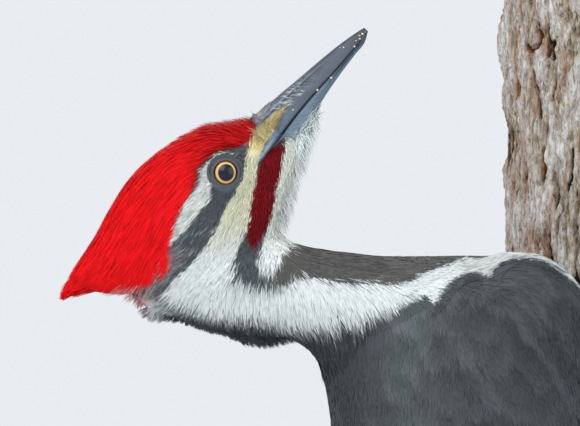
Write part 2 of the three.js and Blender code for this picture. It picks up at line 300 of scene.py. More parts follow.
def remeshed(mesh, voxel, passes):  # one even surface over the shells, smoothed a few times
    holder = inScene("holder", mesh)
    remesh = holder.modifiers.new("remesh", "REMESH")
    remesh.mode = "VOXEL"
    remesh.voxel_size = voxel / metre
    soften = holder.modifiers.new("soften", "SMOOTH")
    soften.factor = 0.5
    soften.iterations = passes
    finished = holder.evaluated_get(bpy.context.evaluated_depsgraph_get())
    made = bpy.data.meshes.new_from_object(finished)
    bpy.data.objects.remove(holder)
    build = bmesh.new()
    build.from_mesh(made)
    waiting, shells = set(build.verts), []
    while waiting:  # only the outermost shell is kept
        shell = [waiting.pop()]
        for vert in shell:
            near = {edge.other_vert(vert) for edge in vert.link_edges} & waiting
            waiting -= near
            shell += near
        shells.append(shell)
    shells.sort(key=len)
    bmesh.ops.delete(build, geom=[vert for shell in shells[:-1] for vert in shell], context="VERTS")
    build.to_mesh(made)
    build.free()
    return made


# Camera, light and floor. The lamps' places are metres.
view = dict(middle=(-163.5, headMiddle[1], 413.3), away=2000.0, width=208.8, sensor=36.0)
cameraData = bpy.data.cameras.new("camera")
cameraData.sensor_width = view["sensor"]
cameraData.lens = view["sensor"] * view["away"] / view["width"]
cameraData.clip_end = 100
camera = inScene("camera", cameraData)
camera.location = Vector(view["middle"]) / metre - Vector((0, view["away"] / metre, 0))
camera.rotation_euler = (math.pi / 2, 0, 0)
bpy.context.scene.camera = camera
bpy.context.scene.view_settings.view_transform = "Standard"

studio = dict(aim=(-0.1, -0.1, 0.36), wall="#eef2f7", glow=0.95, floor="#cfd2d5", floorHalf=7.5)
lights = dict(
    key=dict(place=(-1.3, -1.9, 2.0), size=1.8, watts=38, tint="#ffffff"),
    fill=dict(place=(1.6, -1.7, 0.9), size=2.2, watts=26, tint="#eef4ff"),
    back=dict(place=(-0.6, 1.9, 1.7), size=1.8, watts=26, tint="#ffffff"),
)
for name, light in lights.items():
    lamp = bpy.data.lights.new(name, "AREA")
    lamp.size = light["size"]
    lamp.energy = light["watts"]
    lamp.color = linear(light["tint"])
    holder = inScene(name, lamp)
    holder.location = light["place"]
    aim = Vector(studio["aim"]) - Vector(light["place"])
    holder.rotation_euler = aim.to_track_quat("-Z", "Y").to_euler()

world = bpy.data.worlds.new("world")
bpy.context.scene.world = world
world.use_nodes = True
feed(
    world.node_tree, world.node_tree.nodes["Background"],
    {"Color": colour(studio["wall"]), "Strength": studio["glow"]},
)

floorBuild = bmesh.new()
bmesh.ops.create_grid(floorBuild, x_segments=1, y_segments=1, size=studio["floorHalf"])
floor = inScene("floor", meshFrom(floorBuild, "floor"))
# No shine, so it keeps nothing but soft shadows.
floorPaint, _ = newMaterial("matt pale board")
dress(floorPaint, {"Base Color": colour(studio["floor"]), "Roughness": 0.9})
floor.data.materials.append(floorPaint)
print("camera, light and floor")


# Places on the markings' plan are millimetres right of and above the eye, seen from the bird's right.
plumage = dict(
    crest="#ea0b11",
    crestDeep="#a00c12",
    malar="#74040f",
    yellow="#dcc171",
    cream="#d0cfb0",
    white="#d9dedb",
    slate="#4c5256",
    foreNeck="#555451",
    hindNeck="#3c4144",
    body="#4a4f51",
    pink="#e2a9a6",
    forehead="#868f96",
    earSkin="#8a7f7c",
    eyeSkin="#484d52",
)
plumage = {name: linear(shade) for name, shade in plumage.items()}

# Each row of a stripe: right, above, half width.
cheekStripe = [
    (21.8, 22.5, 0.8), (18.6, 19.9, 1.7), (14.7, 16, 2.4), (11.8, 11.4, 2.6), (10.5, 7.7, 2.4),
    (9.4, 4, 2.2), (8.7, 0.3, 2.4), (8.2, -3, 2.6), (6.3, -8.9, 3.3), (4.2, -14.1, 4.6),
    (2.7, -19.2, 5.2), (0.6, -24.9, 5.7), (-2.2, -30.5, 6.6), (-6.4, -37, 7.4), (-16, -42, 4.5),
]
neckStripe = [
    (-22, -44.8, 1.8), (-16.5, -44.2, 4.5), (-9, -45.3, 6.2), (-1, -46.2, 7), (8, -47, 7),
    (16, -49.2, 5.9), (23, -49.4, 7.8), (31, -47.6, 9.6),
]
eyeFlecks = [(-5, 5.4, 0.5), (-2.5, 6.9, 0.7), (0.5, 7.3, 0.7), (3, 6.6, 0.4)]
browStripe = [
    (-2.7, 6.4, 0.7), (-5.6, 3.6, 1.1), (-7.8, 0.3, 1.7), (-7.8, -3.6, 2.4), (-9.2, -8.3, 3.4),
    (-12.6, -13.2, 3), (-16, -18.5, 1.9), (-19.2, -24.5, 0.9),
]
browEdge = [
    (-5.4, 5.2, 0.5), (-8.8, 3.4, 0.8), (-10.2, 0.9, 0.9), (-10.4, -1.5, 0.8), (-10.2, -4.2, 0.6),
    (-12.8, -8, 0.4),
]
throatStripe = [
    (36, 24, 5), (33, 17, 8), (31, 10.1, 9.6), (30, 5, 9.6), (29.2, -0.2, 9.8), (27.8, -5.3, 9.8),
    (26.2, -10.5, 9.4), (24.6, -15.6, 8.6), (21.2, -20.8, 6.5), (17.8, -25.4, 4.4),
    (16.3, -30, 3.9), (14.8, -34.6, 2.8),
]
malarStripe = [
    (19.6, 11.5, 1.2), (18, 8, 3), (16, 1.4, 4.1), (14.7, -3.8, 3.9), (13.5, -8.9, 4),
    (12.7, -14.1, 3.9), (11.8, -18.7, 3.4), (10.1, -23.3, 2.8), (9.4, -26.5, 1.2),
]
billFoot = [(18.6, 10.6, 1.4), (20.6, 12.4, 1.8), (23, 15.5, 1.4)]
malarTail = [(8.8, -24, 2.4), (7.4, -29, 3.4), (6.8, -34, 4.6), (9.4, -38.5, 4), (14.3, -39.8, 3)]
crestPatch = [
    (4, 40), (5, 21), (8.5, 20), (10.6, 18.3), (10.8, 16), (10, 13.5), (7.9, 11.2), (4.2, 8.7),
    (-1.5, 8.6), (-7, 5.4), (-10.7, 0.2), (-10.7, -3.8), (-14.9, -10.6), (-17.9, -16.6),
    (-20.6, -27), (-20.8, -36), (-28, -41.5), (-36, -44), (-80, -60), (-80, 40),
]
# The white of the neck's side, drawn out to a line along the wing's front edge.
shoulderPatch = [
    (24, -39.3), (30.5, -37.7), (34.3, -39.1), (42.7, -40.4), (58.7, -40.4), (65.2, -39.8),
    (68.4, -38.2), (71.6, -36), (77, -34.2), (80.6, -32.8), (84.2, -30.8), (86.4, -32),
    (89.6, -32), (92.2, -31), (95, -30.1), (97.6, -29.3), (100.4, -28.2), (103.3, -27),
    (109.4, -27), (114.8, -28.5), (120.2, -31.8), (127.4, -37.5), (134, -43), (141, -50),
    (139, -51.5), (133, -46.5), (127.4, -41.2), (125.6, -39.8), (122, -36.7), (118.4, -33.8),
    (114.8, -31.6), (111.2, -30.6), (105.8, -30.5), (102.2, -30.9), (100.4, -31.4), (98.6, -32.3),
    (96.8, -33.9), (95.4, -36), (95.4, -37.3), (93.6, -36.9), (91.4, -35.8), (88.9, -35.6),
    (86, -36.1), (83.2, -37.4), (80.6, -39.2), (78.1, -41.6), (76.7, -44.8), (74.5, -47.4),
    (72.7, -44.4), (71.6, -43.6), (67.8, -45.9), (62, -49.1), (55.5, -52), (47.2, -57),
    (45.3, -57), (42.7, -51.4), (39.5, -57.6), (35, -57), (31.8, -52.4), (27, -57.5), (22, -57),
]
foreNeckLine = [
    (-60, -41), (4, -41), (17, -42.5), (24, -41), (33, -37.5), (42, -39.5), (60, -41), (68, -37),
    (78, -32.5), (90, -29.5), (104, -27),
]
napeFluff = [
    (-40, -45, 2.4), (-35, -46.5, 3.6), (-30, -49, 3.8), (-25, -51.5, 2.6), (-20, -53, 1.2),
    (-15, -54.2, 0.7),
]
napeBrown = [(-28, -45.5, 1.4), (-27, -43, 2.4), (-21, -34, 2.8), (-17, -29, 2.4)]
# Soft pleats where the body's feather tracts meet, a shade paler than the rest.
pleats = [
    [
        (74.5, -48, 0.3), (79, -56.5, 0.8), (82.4, -63, 0.9), (88, -69, 0.9), (93.2, -76.3, 1),
        (98.6, -83.5, 1), (106, -89, 0.6),
    ],
    [(97, -35.5, 0.2), (104, -33.2, 0.5), (109.5, -34, 0.6), (115, -38.5, 0.6), (119, -45, 0.3)],
    [(98, -37.5, 0.2), (106, -37, 0.5), (111.5, -40.5, 0.6), (117, -48, 0.4)],
    [(98, -40, 0.2), (104.5, -40, 0.5), (110, -43.5, 0.6), (114, -50, 0.6), (117, -56, 0.3)],
    [(100, -43.5, 0.2), (106, -46, 0.6), (111, -52, 0.6), (115, -60, 0.3)],
    [(105, -52, 0.3), (110, -60, 0.7), (117, -70, 0.9), (122, -80, 0.8), (128, -88, 0.4)],
]


def onRight(points):  # places on the bird's left are marked as those across its middle plane
    aside = points @ leftWay
    onBody = ease(40, 66, points[:, 0] - headMiddle[0])[:, None]
    across = points.copy()
    across[:, 1] = np.minimum(points[:, 1], 2 * headMiddle[1] - points[:, 1])
    flipped = points - 2 * np.maximum(aside, 0)[:, None] * leftWay
    return across * (1 - onBody) + flipped * onBody


def planOf(points):  # the markings' plan is drawn in perspective from two metres away
    points = onRight(points)
    nearer = view["away"] / (view["away"] + points[:, 1] - view["middle"][1])
    middle = np.array(view["middle"])[[0, 2]]
    return middle + (points[:, [0, 2]] - middle) * nearer[:, None] - headMiddle[[0, 2]]


def scaly(places, wide=5.5, high=10):  # each soft feather: painted shade at its root under the one above, pale at its tip
    cell = places / [wide, high]
    base, nearest, shade = np.floor(cell), np.full(len(places), 9.0), np.zeros(len(places))
    for i in (-1, 0, 1):
        for j in (-1, 0, 1):
            corner = base + [i, j]
            jitter = np.sin(corner @ [[12.99, 39.35], [78.23, 11.14]] + [0, 2]) * 43758.5 % 1
            off = cell - corner - jitter
            off[:, 0] += 0.25 * off[:, 1]
            gap = (off**2).sum(1)
            shade = np.where(gap < nearest, -off[:, 1] + 0.8 * (jitter[:, 0] - 0.5), shade)
            nearest = np.minimum(gap, nearest)
    return np.clip(shade * 1.4, -1, 1)


def offLine(places, start, end):  # the distance of each place from a line, and its share along it
    run = np.subtract(end, start)
    share = np.clip((places - start) @ run / (run @ run), 0, 1)
    return np.linalg.norm(places - start - share[:, None] * run, axis=1), share


def inStripe(places, rows):  # how far inside a stripe each place is, negative outside it
    depth = np.full(len(places), -1e3)
    for (*start, startHalf), (*end, endHalf) in zip(rows, rows[1:]):
        off, share = offLine(places, start, end)
        depth = np.maximum(depth, startHalf + (endHalf - startHalf) * share - off)
    return depth


def inPatch(places, corners):  # the same for a closed outline
    inside = np.zeros(len(places), bool)
    off = np.full(len(places), 1e3)
    for (ax, ay), (bx, by) in zip(corners, corners[1:] + corners[:1]):
        off = np.minimum(off, offLine(places, (ax, ay), (bx, by))[0])
        if ay != by:
            crosses = (places[:, 1] < ay) != (places[:, 1] < by)
            inside ^= crosses & (places[:, 0] < ax + (places[:, 1] - ay) * (bx - ax) / (by - ay))
    return np.where(inside, off, -off)


def alongBarbs(places, deep, lean, stretch):  # turned so that noise runs in streaks along the barbs
    right, above = places.T
    across = right * lean[0] - above * lean[1]
    return np.stack([across, (right * lean[1] + above * lean[0]) * stretch, deep * 0.3], 1)


def mixed(first, second, share):  # share is one number for each row
    return first * (1 - share) + second * share


def markings(points):  # the colour of the plumage at each point, laid on from the body outwards
    places = planOf(points)
    right, above = places.T
    fine = ripple(points, 2.6, 4)[:, None]
    patchy = 0.4 * (ripple(points * [1, 1, 0.7], 11, 3) + ripple(points * [1, 1, 0.6], 5, 12))[:, None]
    # Painted light: the body is brighter towards the neck and darker further right, for how light falls
    # across it.
    paintedLight = np.interp(right, [30, 57, 88, 115], [1.5, 1.29, 0.83, 0.62])[:, None]
    warped = places + np.stack([ripple(points, 17, 61), ripple(points, 17, 62)], 1) * 2.5
    barbs = alongBarbs(places, points[:, 1], (0.82, 0.57), 0.18)
    streaks = alongBarbs(places, points[:, 1], (0.77, 0.64), 0.2)
    shades = plumage["body"] * paintedLight * (1 + 0.08 * patchy + 0.05 * fine + 0.33 * scaly(warped)[:, None])

    def lay(shade, amount):
        nonlocal shades
        shades = mixed(shades, shade, amount[:, None])

    def layStripe(shade, rows):
        lay(shade, ease(-0.4, 0.4, inStripe(places, rows)))

    white = plumage["white"] * (1 + 0.03 * fine)
    creamy, yellowish = ease(-34, -12, above)[:, None], ease(4, 13, above)[:, None]
    cheek = mixed(mixed(white, plumage["cream"], creamy), plumage["yellow"], yellowish)
    cheek = cheek * (1 + 0.1 * ripple(barbs * [1, 2, 1], 1.1, 29)[:, None])
    barred = (ease(0.25, 0.8, ripple(barbs, 1.3, 27)) * ease(-14, -24, above) * 0.35)[:, None]
    shaded = 0.65 * (ease(-22, 14, above) * ease(-26, 4, right))[:, None]
    red = mixed(plumage["crest"], plumage["crestDeep"], shaded)

    for pleat in pleats:
        lay(plumage["body"] * 1.4, ease(-1, 0.5, inStripe(places, pleat)) * 0.35)
    lay(mixed(plumage["slate"], white, barred) * (1 + 0.2 * fine), ease(34, 16, right))
    onForehead = ease(9, 12, above) * ease(2, 5, right) * ease(30, 26, right)
    lay(plumage["forehead"] * (1 + 0.2 * fine), onForehead)
    underNeck = ease(-48, -51, above - 0.12 * np.minimum(-right, 0)) * ease(64, 48, right)
    lay(plumage["hindNeck"] * (1 + 0.12 * fine), underNeck)
    topOfNeck = ease(-1, 1, above - np.interp(right, *np.array(foreNeckLine).T))
    foreNeck = topOfNeck * ease(12, 17, right) * ease(104, 88, right) * ease(-18, -24, above)
    lay(plumage["foreNeck"] * (1 + 0.14 * ripple(points, 6, 8)[:, None] + 0.06 * fine), foreNeck)
    layStripe(white, neckStripe)
    farTop = ease(394, 396.5, points[:, 2]) * ease(5, 15, points @ leftWay)
    lay(white, ease(-0.3, 0.3, inPatch(places, shoulderPatch)) * (1 - farTop))
    layStripe(cheek, cheekStripe)
    # Painted light: the throat's white is brightened, and more so towards its front edge, as if lit from
    # behind.
    throatEdge = np.interp(above, [-30, -10, 5, 20], [14, 20, 25, 29])
    paintedThroatLight = 1.1 + 0.25 * ease(3, 8, right - throatEdge)[:, None]
    layStripe(mixed(white, plumage["cream"], 0.4 * creamy) * paintedThroatLight, throatStripe)
    brown = ease(-1, 1, inStripe(places, napeBrown)) * ease(-0.6, 0.4, ripple(points, 2.5, 19))
    lay(plumage["earSkin"], brown * 0.8)
    silky = mixed(plumage["cream"], white, 0.85)
    layStripe(silky * (1 - 0.5 * ease(0.1, 0.7, ripple(streaks, 1.5, 23)))[:, None], browStripe)
    layStripe(plumage["slate"] * 0.5, browEdge)
    flecked = ease(-0.1, 0.4, ripple(points, 1.2, 17))
    lay(plumage["cream"], ease(-0.3, 0.3, inStripe(places, eyeFlecks)) * flecked)
    layStripe(plumage["slate"] * (1 + 0.1 * fine), malarTail)
    sooty = np.interp(above, [-26, -8, 4, 10], [0.35, 0.2, 0.5, 0.9])
    sooty = sooty * ease(-0.2, 0.6, ripple(points, 3, 24))
    layStripe(plumage["malar"] * (1 + 0.6 * fine) * (1 - 0.75 * sooty)[:, None], malarStripe)
    lay(plumage["slate"] * 0.6, ease(-0.8, 0.8, inStripe(places, billFoot)) * 0.8)
    inCrest = inPatch(places, crestPatch)
    dusky = 0.4 * ease(3, 0.5, inCrest) * ease(-20, -8, right) * ease(-30, -8, above)
    lay(red * (1 + 0.1 * fine) * (1 - dusky[:, None]), ease(-0.4, 0.4, inCrest))
    fluffy = ease(-0.8, 1, inStripe(places, napeFluff))
    fluffy = fluffy * (0.65 + 0.35 * ease(-0.5, 0.3, ripple(points, 2.2, 18)))
    lay(mixed(white, plumage["pink"], ease(-27, -31, right)[:, None]), fluffy * 0.92)
    return np.clip(shades, 0, 1)


# The skin is one even surface inside the flesh's nodes, sunk by the depth of the coat.
skinShape = dict(voxel=1.25, passes=4, grow=0.8, close=(1.2, 2.4), dim=0.88)
fleshNodes = ["head", "crest", "neck", "trunk", "wing_right", "wing_left"]
skinMesh = remeshed(joinedCopy(fleshNodes, skinShape["grow"]), skinShape["voxel"], 1)


def offHead(points):  # 1 on the body and wings, 0 on the head, the neck and the wings' lower ends
    behind = np.maximum(ease(372, 360, points[:, 2]), ease(-150, -135, points[:, 0]))
    return behind * ease(225, 245, points[:, 2])


# The gaps between body and wings close up when the body is grown, wrapped again and shrunk back.
for step in skinShape["close"]:
    skinPoints = pointsOf(skinMesh)
    movePoints(skinMesh, skinPoints + normalsOf(skinMesh) * (step * offHead(skinPoints))[:, None])
    skinMesh = remeshed(skinMesh, skinShape["voxel"], skinShape["passes"] // 2)
skinPoints = pointsOf(skinMesh)
shrink = sum(skinShape["close"]) * offHead(skinPoints)
movePoints(skinMesh, skinPoints - normalsOf(skinMesh) * shrink[:, None])


def coatDepth(points):
    right, above = planOf(points).T
    neck = 0.9 * ease(-38, -44, above) * ease(75, 55, right)
    lowWing = ease(250, 200, points[:, 2])
    nearEye = ease(11, 7, np.hypot(right, above))
    nape = np.interp(points[:, 2], [337, 345, 353, 358, 362, 368], [0, -0.5, -1.3, -1.5, -1.7, 0])
    thinEnd = ease(46, 60, (points - headMiddle) @ headBack)
    bend = ease(92, 100, right) * ease(-60, -48, above)
    farSide = ease(-100, -92, points[:, 1]) * ease(388, 393, points[:, 2]) * ease(20, 40, right)
    brink = ease(108, 116, right) * ease(-56, -46, above)
    depth = 1.3 + neck + 1.4 * farSide + nape * ease(-138, -150, points[:, 0]) - 0.9 * bend - 0.9 * brink
    return depth * (1 - 0.8 * lowWing) * (1 - 0.6 * nearEye) * (1 - 0.85 * thinEnd) + skinShape["grow"]


def relax(mesh, points, wanted, rounds, filling):  # evens a surface out, or only raises its creases
    edges = np.empty(len(mesh.edges) * 2, np.int32)
    mesh.edges.foreach_get("vertices", edges)
    edges = edges.reshape(-1, 2)
    edges = edges[wanted[edges].max(1) > 0]
    live, local = np.unique(edges, return_inverse=True)
    a, b = local.reshape(-1, 2).T
    ways, many, amount = normalsOf(mesh)[live], np.bincount(local.ravel())[:, None], wanted[live]
    near, count = points[live], len(live)
    for _ in range(rounds):
        sums = [np.bincount(a, near[b, k], count) + np.bincount(b, near[a, k], count) for k in range(3)]
        drift = np.stack(sums, 1) / many - near
        if filling:
            drift = ways * np.maximum((drift * ways).sum(1), 0)[:, None]
        near = near + drift * amount[:, None]
    points[live] = near
    return points


def surfaceOf(*meshes):  # what tufts are sown on and laid over
    points, faces, normals, start = [], [], [], 0
    for mesh in meshes:
        build = bmesh.new()
        build.from_mesh(mesh)
        bmesh.ops.triangulate(build, faces=build.faces)
        points.append(np.array([vert.co for vert in build.verts]) * metre)
        normals.append(np.array([vert.normal for vert in build.verts]))
        faces.append(np.array([[vert.index for vert in face.verts] for face in build.faces]) + start)
        start += len(build.verts)
        build.free()
    points, faces, normals = np.concatenate(points), np.concatenate(faces), np.concatenate(normals)
    tree = BVHTree.FromPolygons(points.tolist(), faces.tolist())
    return dict(points=points, faces=faces, normals=normals, tree=tree)


skinPoints = pointsOf(skinMesh)
along, _, height = skinPoints.T
onShoulder = ease(300, 325, height) * ease(-140, -125, along) * ease(402, 396, height)
inCorner = ease(-165, -158, along) * ease(-135, -142, along)
inCorner = inCorner * ease(345, 352, height) * ease(374, 366, height)
skinPoints = relax(skinMesh, skinPoints, onShoulder, 400, True)
skinPoints = relax(skinMesh, skinPoints, inCorner, 60, True)
skinPoints = relax(skinMesh, skinPoints, onShoulder, 60, False)
skinPoints = relax(skinMesh, skinPoints, offHead(skinPoints), 12, False)
movePoints(skinMesh, skinPoints)
skinPoints -= normalsOf(skinMesh) * coatDepth(skinPoints)[:, None]
movePoints(skinMesh, skinPoints)
skinSurface = surfaceOf(skinMesh)
setColours(skinMesh, markings(skinPoints) * skinShape["dim"])
# It shows only between feathers, as a dull ground: their own colours darkened into painted shade.
skinMaterial = dyedMaterial("skin under the feathers, matt and shaded", 0.9, 0.15)
addPiece("skin", skinMesh, skinMaterial, fleshNodes)
print("skin", len(skinSurface["faces"]), "triangles")


def settle(points, surface):  # the nearest place on a surface to each point, and the way out there
    hits = [surface["tree"].find_nearest(p) for p in points.tolist()]
    return np.array([hit[0] for hit in hits]), np.array([hit[1] for hit in hits])


# Right of and above the eye, and the way that the feathers there point.
lieBlend = dict(near=3.0, power=-1.6)
lieGuides = np.array([
    (19, 20, 0.62, 0.78), (14, 15, 0.5, 0.86), (11, 10, 0.45, 0.89), (10, 17, -0.95, 0.3),
    (0, 18, -0.97, 0.05), (-15, 15, -0.86, -0.5), (-30, 0, -0.62, -0.78), (-40, -20, -0.5, -0.87),
    (-52, -36, -0.62, -0.78), (-60, -43, -0.64, -0.76), (3, 10, -0.95, 0), (-10, 6, -0.85, -0.5),
    (-14, -4, -0.55, -0.83), (-22, -16, -0.42, -0.9), (-27, -30, -0.5, -0.86),
    (-34, -42, -0.7, -0.7), (-8, 0, -0.9, -0.42), (-12, -12, -0.8, -0.6), (-17, -22, -0.74, -0.67),
    (0, -9, -0.35, -0.94), (-8, -20, -0.62, -0.78), (-16, -32, -0.78, -0.62), (6, 6, -0.5, -0.86),
    (9.8, 4, -0.1, -0.99), (8, -4, -0.25, -0.97), (4, -14, -0.5, -0.87), (0, -25, -0.48, -0.88),
    (-6, -35, -0.55, -0.83), (16, 4, -0.18, -0.98), (12, -15, -0.2, -0.98), (9, -28, -0.3, -0.95),
    (26, 10, -0.1, -1), (21, -10, -0.15, -0.99), (17, -28, -0.2, -0.98), (-22, -46, -0.75, -0.66),
    (-12, -48, -0.45, -0.9), (2, -46, -0.12, -0.99), (15, -50, 0.12, -0.99), (30, -50, 0.2, -0.98),
    (45, -50, 0.35, -0.93), (58, -47, 0.5, -0.87), (70, -42, 0.72, -0.7), (80, -37, 0.9, -0.3),
    (92, -33, 0.97, 0.1), (104, -29, 0.98, -0.15), (112, -30, 0.9, -0.4), (119, -35, 0.8, -0.6),
    (126, -40, 0.75, -0.65), (99, -37, 0.97, -0.2), (110, -42, 0.6, -0.8), (106, -38, 0.85, -0.5),
    (24, -25, 0.7, -0.7), (32, -30, 0.96, -0.25), (48, -31, 0.98, -0.15), (66, -32, 0.98, -0.1),
    (0, -60, 0.05, -1), (20, -63, 0.3, -0.95), (38, -72, 0.05, -1), (55, -62, 0.2, -0.98),
    (75, -55, 0.1, -1), (100, -48, 0.3, -0.95), (120, -55, 0.1, -1), (80, -90, 0, -1),
    (40, -100, 0, -1), (88, -42, 0.5, -0.85), (84, -46, 0.3, -0.95), (92, -48, 0.25, -0.97),
])


def lieAt(points, out):
    places = planOf(points)
    gap = ((places[:, None, :] - lieGuides[None, :, :2]) ** 2).sum(2) + lieBlend["near"]
    pull = gap ** lieBlend["power"]
    way = (pull @ lieGuides[:, 2:]) / pull.sum(1, keepdims=True)
    way = np.stack([way[:, 0], np.zeros(len(way)), way[:, 1]], 1)
    return alongSkin(mixed(way, -upright, ease(345, 315, points[:, 2])[:, None]), out)


def unwrapAround(middle, axis, start, reach=300):  # places round and along an axis, from 0 to 1
    axis, start = unit(np.array(axis, float)), np.array(start, float)
    first = unit(start - axis * (start @ axis))
    second = np.cross(axis, first)

    def places(points):
        arm = points - middle
        turn = np.arctan2(arm @ second, arm @ first) / (2 * math.pi) + 0.5
        along = (arm @ axis) / reach + 0.5
        return np.stack([0.01 + 0.98 * turn, np.clip(along, 0.01, 0.99)], 1)

    return places


def sow(spacing, wanted, surface=skinSurface):  # roots strewn by area where wanted beats a random draw
    corners = surface["points"][surface["faces"]]
    first, second = corners[:, 1] - corners[:, 0], corners[:, 2] - corners[:, 0]
    areas = np.linalg.norm(np.cross(first, second), axis=1) / 2
    density = areas / spacing**2 * wanted(corners.mean(1))
    counts = np.floor(density + rng.random(len(density))).astype(int)
    owner = np.repeat(np.arange(len(counts)), counts)
    a, b = rng.random((2, len(owner), 1))
    fold = a + b > 1
    a, b = np.where(fold, 1 - a, a), np.where(fold, 1 - b, b)

    def spread(three):
        return three[:, 0] * (1 - a - b) + three[:, 1] * a + three[:, 2] * b

    return spread(corners[owner]), unit(spread(surface["normals"][surface["faces"][owner]]))


def thinned(places, cell):  # at most one place in each small cube, so that they lie evenly
    keys = np.floor(places / cell).astype(np.int64) @ np.array([1, 10007, 10007 * 10007])
    return np.sort(np.unique(keys, return_index=True)[1])


# Loose barbs look dull and downy, and the crest's long close ones carry a faint streak of light.
softFeather = dyedMaterial("short soft feathers, loose barbs that scatter light", 0.85, 0.15, 0.05)
silkyFeather = dyedMaterial("silky crest feathers, long barbs with a low sheen", 0.65, 0.12)
headUnwrap = unwrapAround(headMiddle + headBack * 25, headBack, -headUp)
neckUnwrap = unwrapAround(headMiddle + np.array([30, 0, -42.0]), (1, 0, 0), -upright)
bodyUnwrap = unwrapAround(dorsal * 141 + upright * 280, -upright, -dorsal)
tracts = dict(  # how each tract of feathers is unwrapped, its material and its slot
    face=(headUnwrap, softFeather, "face_feathers"),
    crest=(headUnwrap, silkyFeather, "crest_feathers"),
    neck=(neckUnwrap, softFeather, "neck_feathers"),
    body=(bodyUnwrap, softFeather, "body_feathers"),
)


def finishCoat(name, points, triangles, shades, marks, material, slot, out=None):
    mesh = meshOfArrays(name, points, triangles)
    setColours(mesh, np.clip(shades, 0, 1))
    layer = mesh.uv_layers.new(name="OFBake")
    layer.data.foreach_set("uv", marks[triangles.ravel()].astype(np.float32).ravel())
    addPiece(name, mesh, material)
    if out is not None:
        mesh.normals_split_custom_set_from_vertices(unit(out).astype(np.float32).tolist())
    print(name, len(triangles), "triangles")


def swayed(lie, out, stray):  # each direction turned by its own random angle
    stray = rng.normal(0, stray, len(out))[:, None]
    return unit(lie * np.cos(stray) + np.cross(out, lie) * np.sin(stray))


def gathered(spine, coat):  # the tips of a coat's tufts drawn together into points
    heads = thinned(spine[-1], coat["clump"])
    tree = KDTree(len(heads))
    for i, place in enumerate(spine[-1][heads]):
        tree.insert(place, i)
    tree.balance()
    nearest = heads[np.array([tree.find(place)[1] for place in spine[-1].tolist()])]
    for joint in range(1, len(spine)):
        pull = coat["gather"] * (joint / coat["joints"]) ** 1.5
        spine[joint] = spine[joint] + (spine[joint][nearest] - spine[joint]) * pull


# Each tuft is a ribbon that follows the surface, rises towards its tip and runs on where that ends.
def growTufts(
    name, tract, roots, out, coat, way=None, dye=None, scale=1.0, rise=1.0, surface=skinSurface
):
    count, joints = len(roots), coat["joints"]
    length = coat["length"] * scale * rng.uniform(0.75, 1.25, count)
    width = coat["width"] * rng.uniform(0.75, 1.25, count) * np.minimum(scale, 1) ** 0.5
    lift = coat["lift"] * rise * rng.uniform(0.5, 1.4, count)
    lie = swayed(lieAt(roots, out) if way is None else way, out, coat["stray"])
    lie = unit(lie + out * coat.get("stand", 0.0))
    here, spine, outs, lies = roots, [roots - out * 0.3], [out], [lie]
    for joint in range(1, joints + 1):
        step = here + lie * (length / joints)[:, None]
        here, outHere = settle(step, surface)
        loose = ease(0.7, 1.7, np.linalg.norm(step - here, axis=1))[:, None]
        if coat.get("free"):
            loose = np.ones_like(loose)
        here = here + (step - here) * loose
        outHere = unit(outHere * (1 - 0.7 * loose) + outs[-1])
        if way is None:
            lie = unit(lieAt(here, outHere) * (1 - loose) + lie)
        lie = alongSkin(lie, outHere, 1 - loose)
        raised = lift * (joint / joints) ** coat.get("bend", 1.0)
        spine.append(here + outHere * raised[:, None] * (1 - loose))
        outs.append(outHere)
        lies.append(lie)
    if "clump" in coat:
        gathered(spine, coat)
    rootDye = dye
    if dye is None:  # the borders of the markings are feathered by straying tufts
        stir = rng.normal(0, coat.get("mingle", 0.4), (count, 3))
        rootDye = dye = markings(spine[-1] * 0.5 + spine[-2] * 0.5 + stir)
        if coat.get("fading"):
            rootDye = markings(spine[1] + stir)
    vary = rng.uniform(1 - coat["vary"], 1 + coat["vary"], (count, 1))
    shades, rootShades = dye * vary, rootDye * vary
    if "odd" in coat:  # a share of the tufts is darker or paler than the rest
        odd = rng.random(count) < coat["odd"][0]
        amount = rng.uniform(*coat["odd"][1:], (odd.sum(), 1))
        shades[odd] *= amount
        rootShades[odd] *= amount
    roll = rng.normal(0, coat["roll"], count)[:, None]
    points, normals, tones = [], [], []
    for joint in range(joints):
        share = joint / joints
        across = unit(np.cross(outs[joint], lies[joint]))
        across = across * np.cos(roll) + outs[joint] * np.sin(roll)
        half = (width / 2 * np.interp(share, [0, 0.35, 0.7, 1], [0.75, 1, 0.85, 0]))[:, None]
        shadow = coat["shade"] + (1 - coat["shade"]) * share**0.7
        for side in (-1, 1):
            points.append(spine[joint] + across * half * side)
            normals.append(unit(outs[joint] + across * coat.get("round", 0.25) * side))
            tones.append(mixed(rootShades, shades, share) * shadow)
    points.append(spine[-1])
    normals.append(outs[-1])
    tones.append(shades)
    rows = len(points)
    points, normals, tones = (np.stack(parts, 1).reshape(-1, 3) for parts in (points, normals, tones))
    pattern = []
    for a in range(0, joints * 2 - 2, 2):
        pattern += [(a, a + 3, a + 1), (a, a + 2, a + 3)]
    pattern.append((rows - 3, rows - 1, rows - 2))
    triangles = (np.arange(count)[:, None, None] * rows + np.array(pattern)[None]).reshape(-1, 3)
    unwrap, material, slot = tracts[tract]
    spot = [((row % 2 - 0.5) * 0.002, (row // 2 / joints - 0.5) * 0.0028) for row in range(rows)]
    marks = (unwrap(roots)[:, None, :] + np.array(spot)).reshape(-1, 2)
    finishCoat(name, points, triangles, tones, marks, material, slot, normals)


# Which feathers grow where: each test is above zero on its own side of a line on the plan.
borders = dict(head=((-31, -47), (23, -19)), neck=((28, -66), (70, -28)))


def pastLine(points, start, end):
    run, off = np.subtract(end, start), planOf(points) - start
    return (run[0] * off[:, 1] - run[1] * off[:, 0]) / np.linalg.norm(run)


def onCrest(points):
    return inPatch(planOf(points), crestPatch)


def onHead(points):
    return pastLine(points, *borders["head"])


def onNeck(points):
    return pastLine(points, *borders["neck"])


def awayFromEye(points):
    return np.linalg.norm((points - headMiddle) * [1, 0, 1], axis=1)


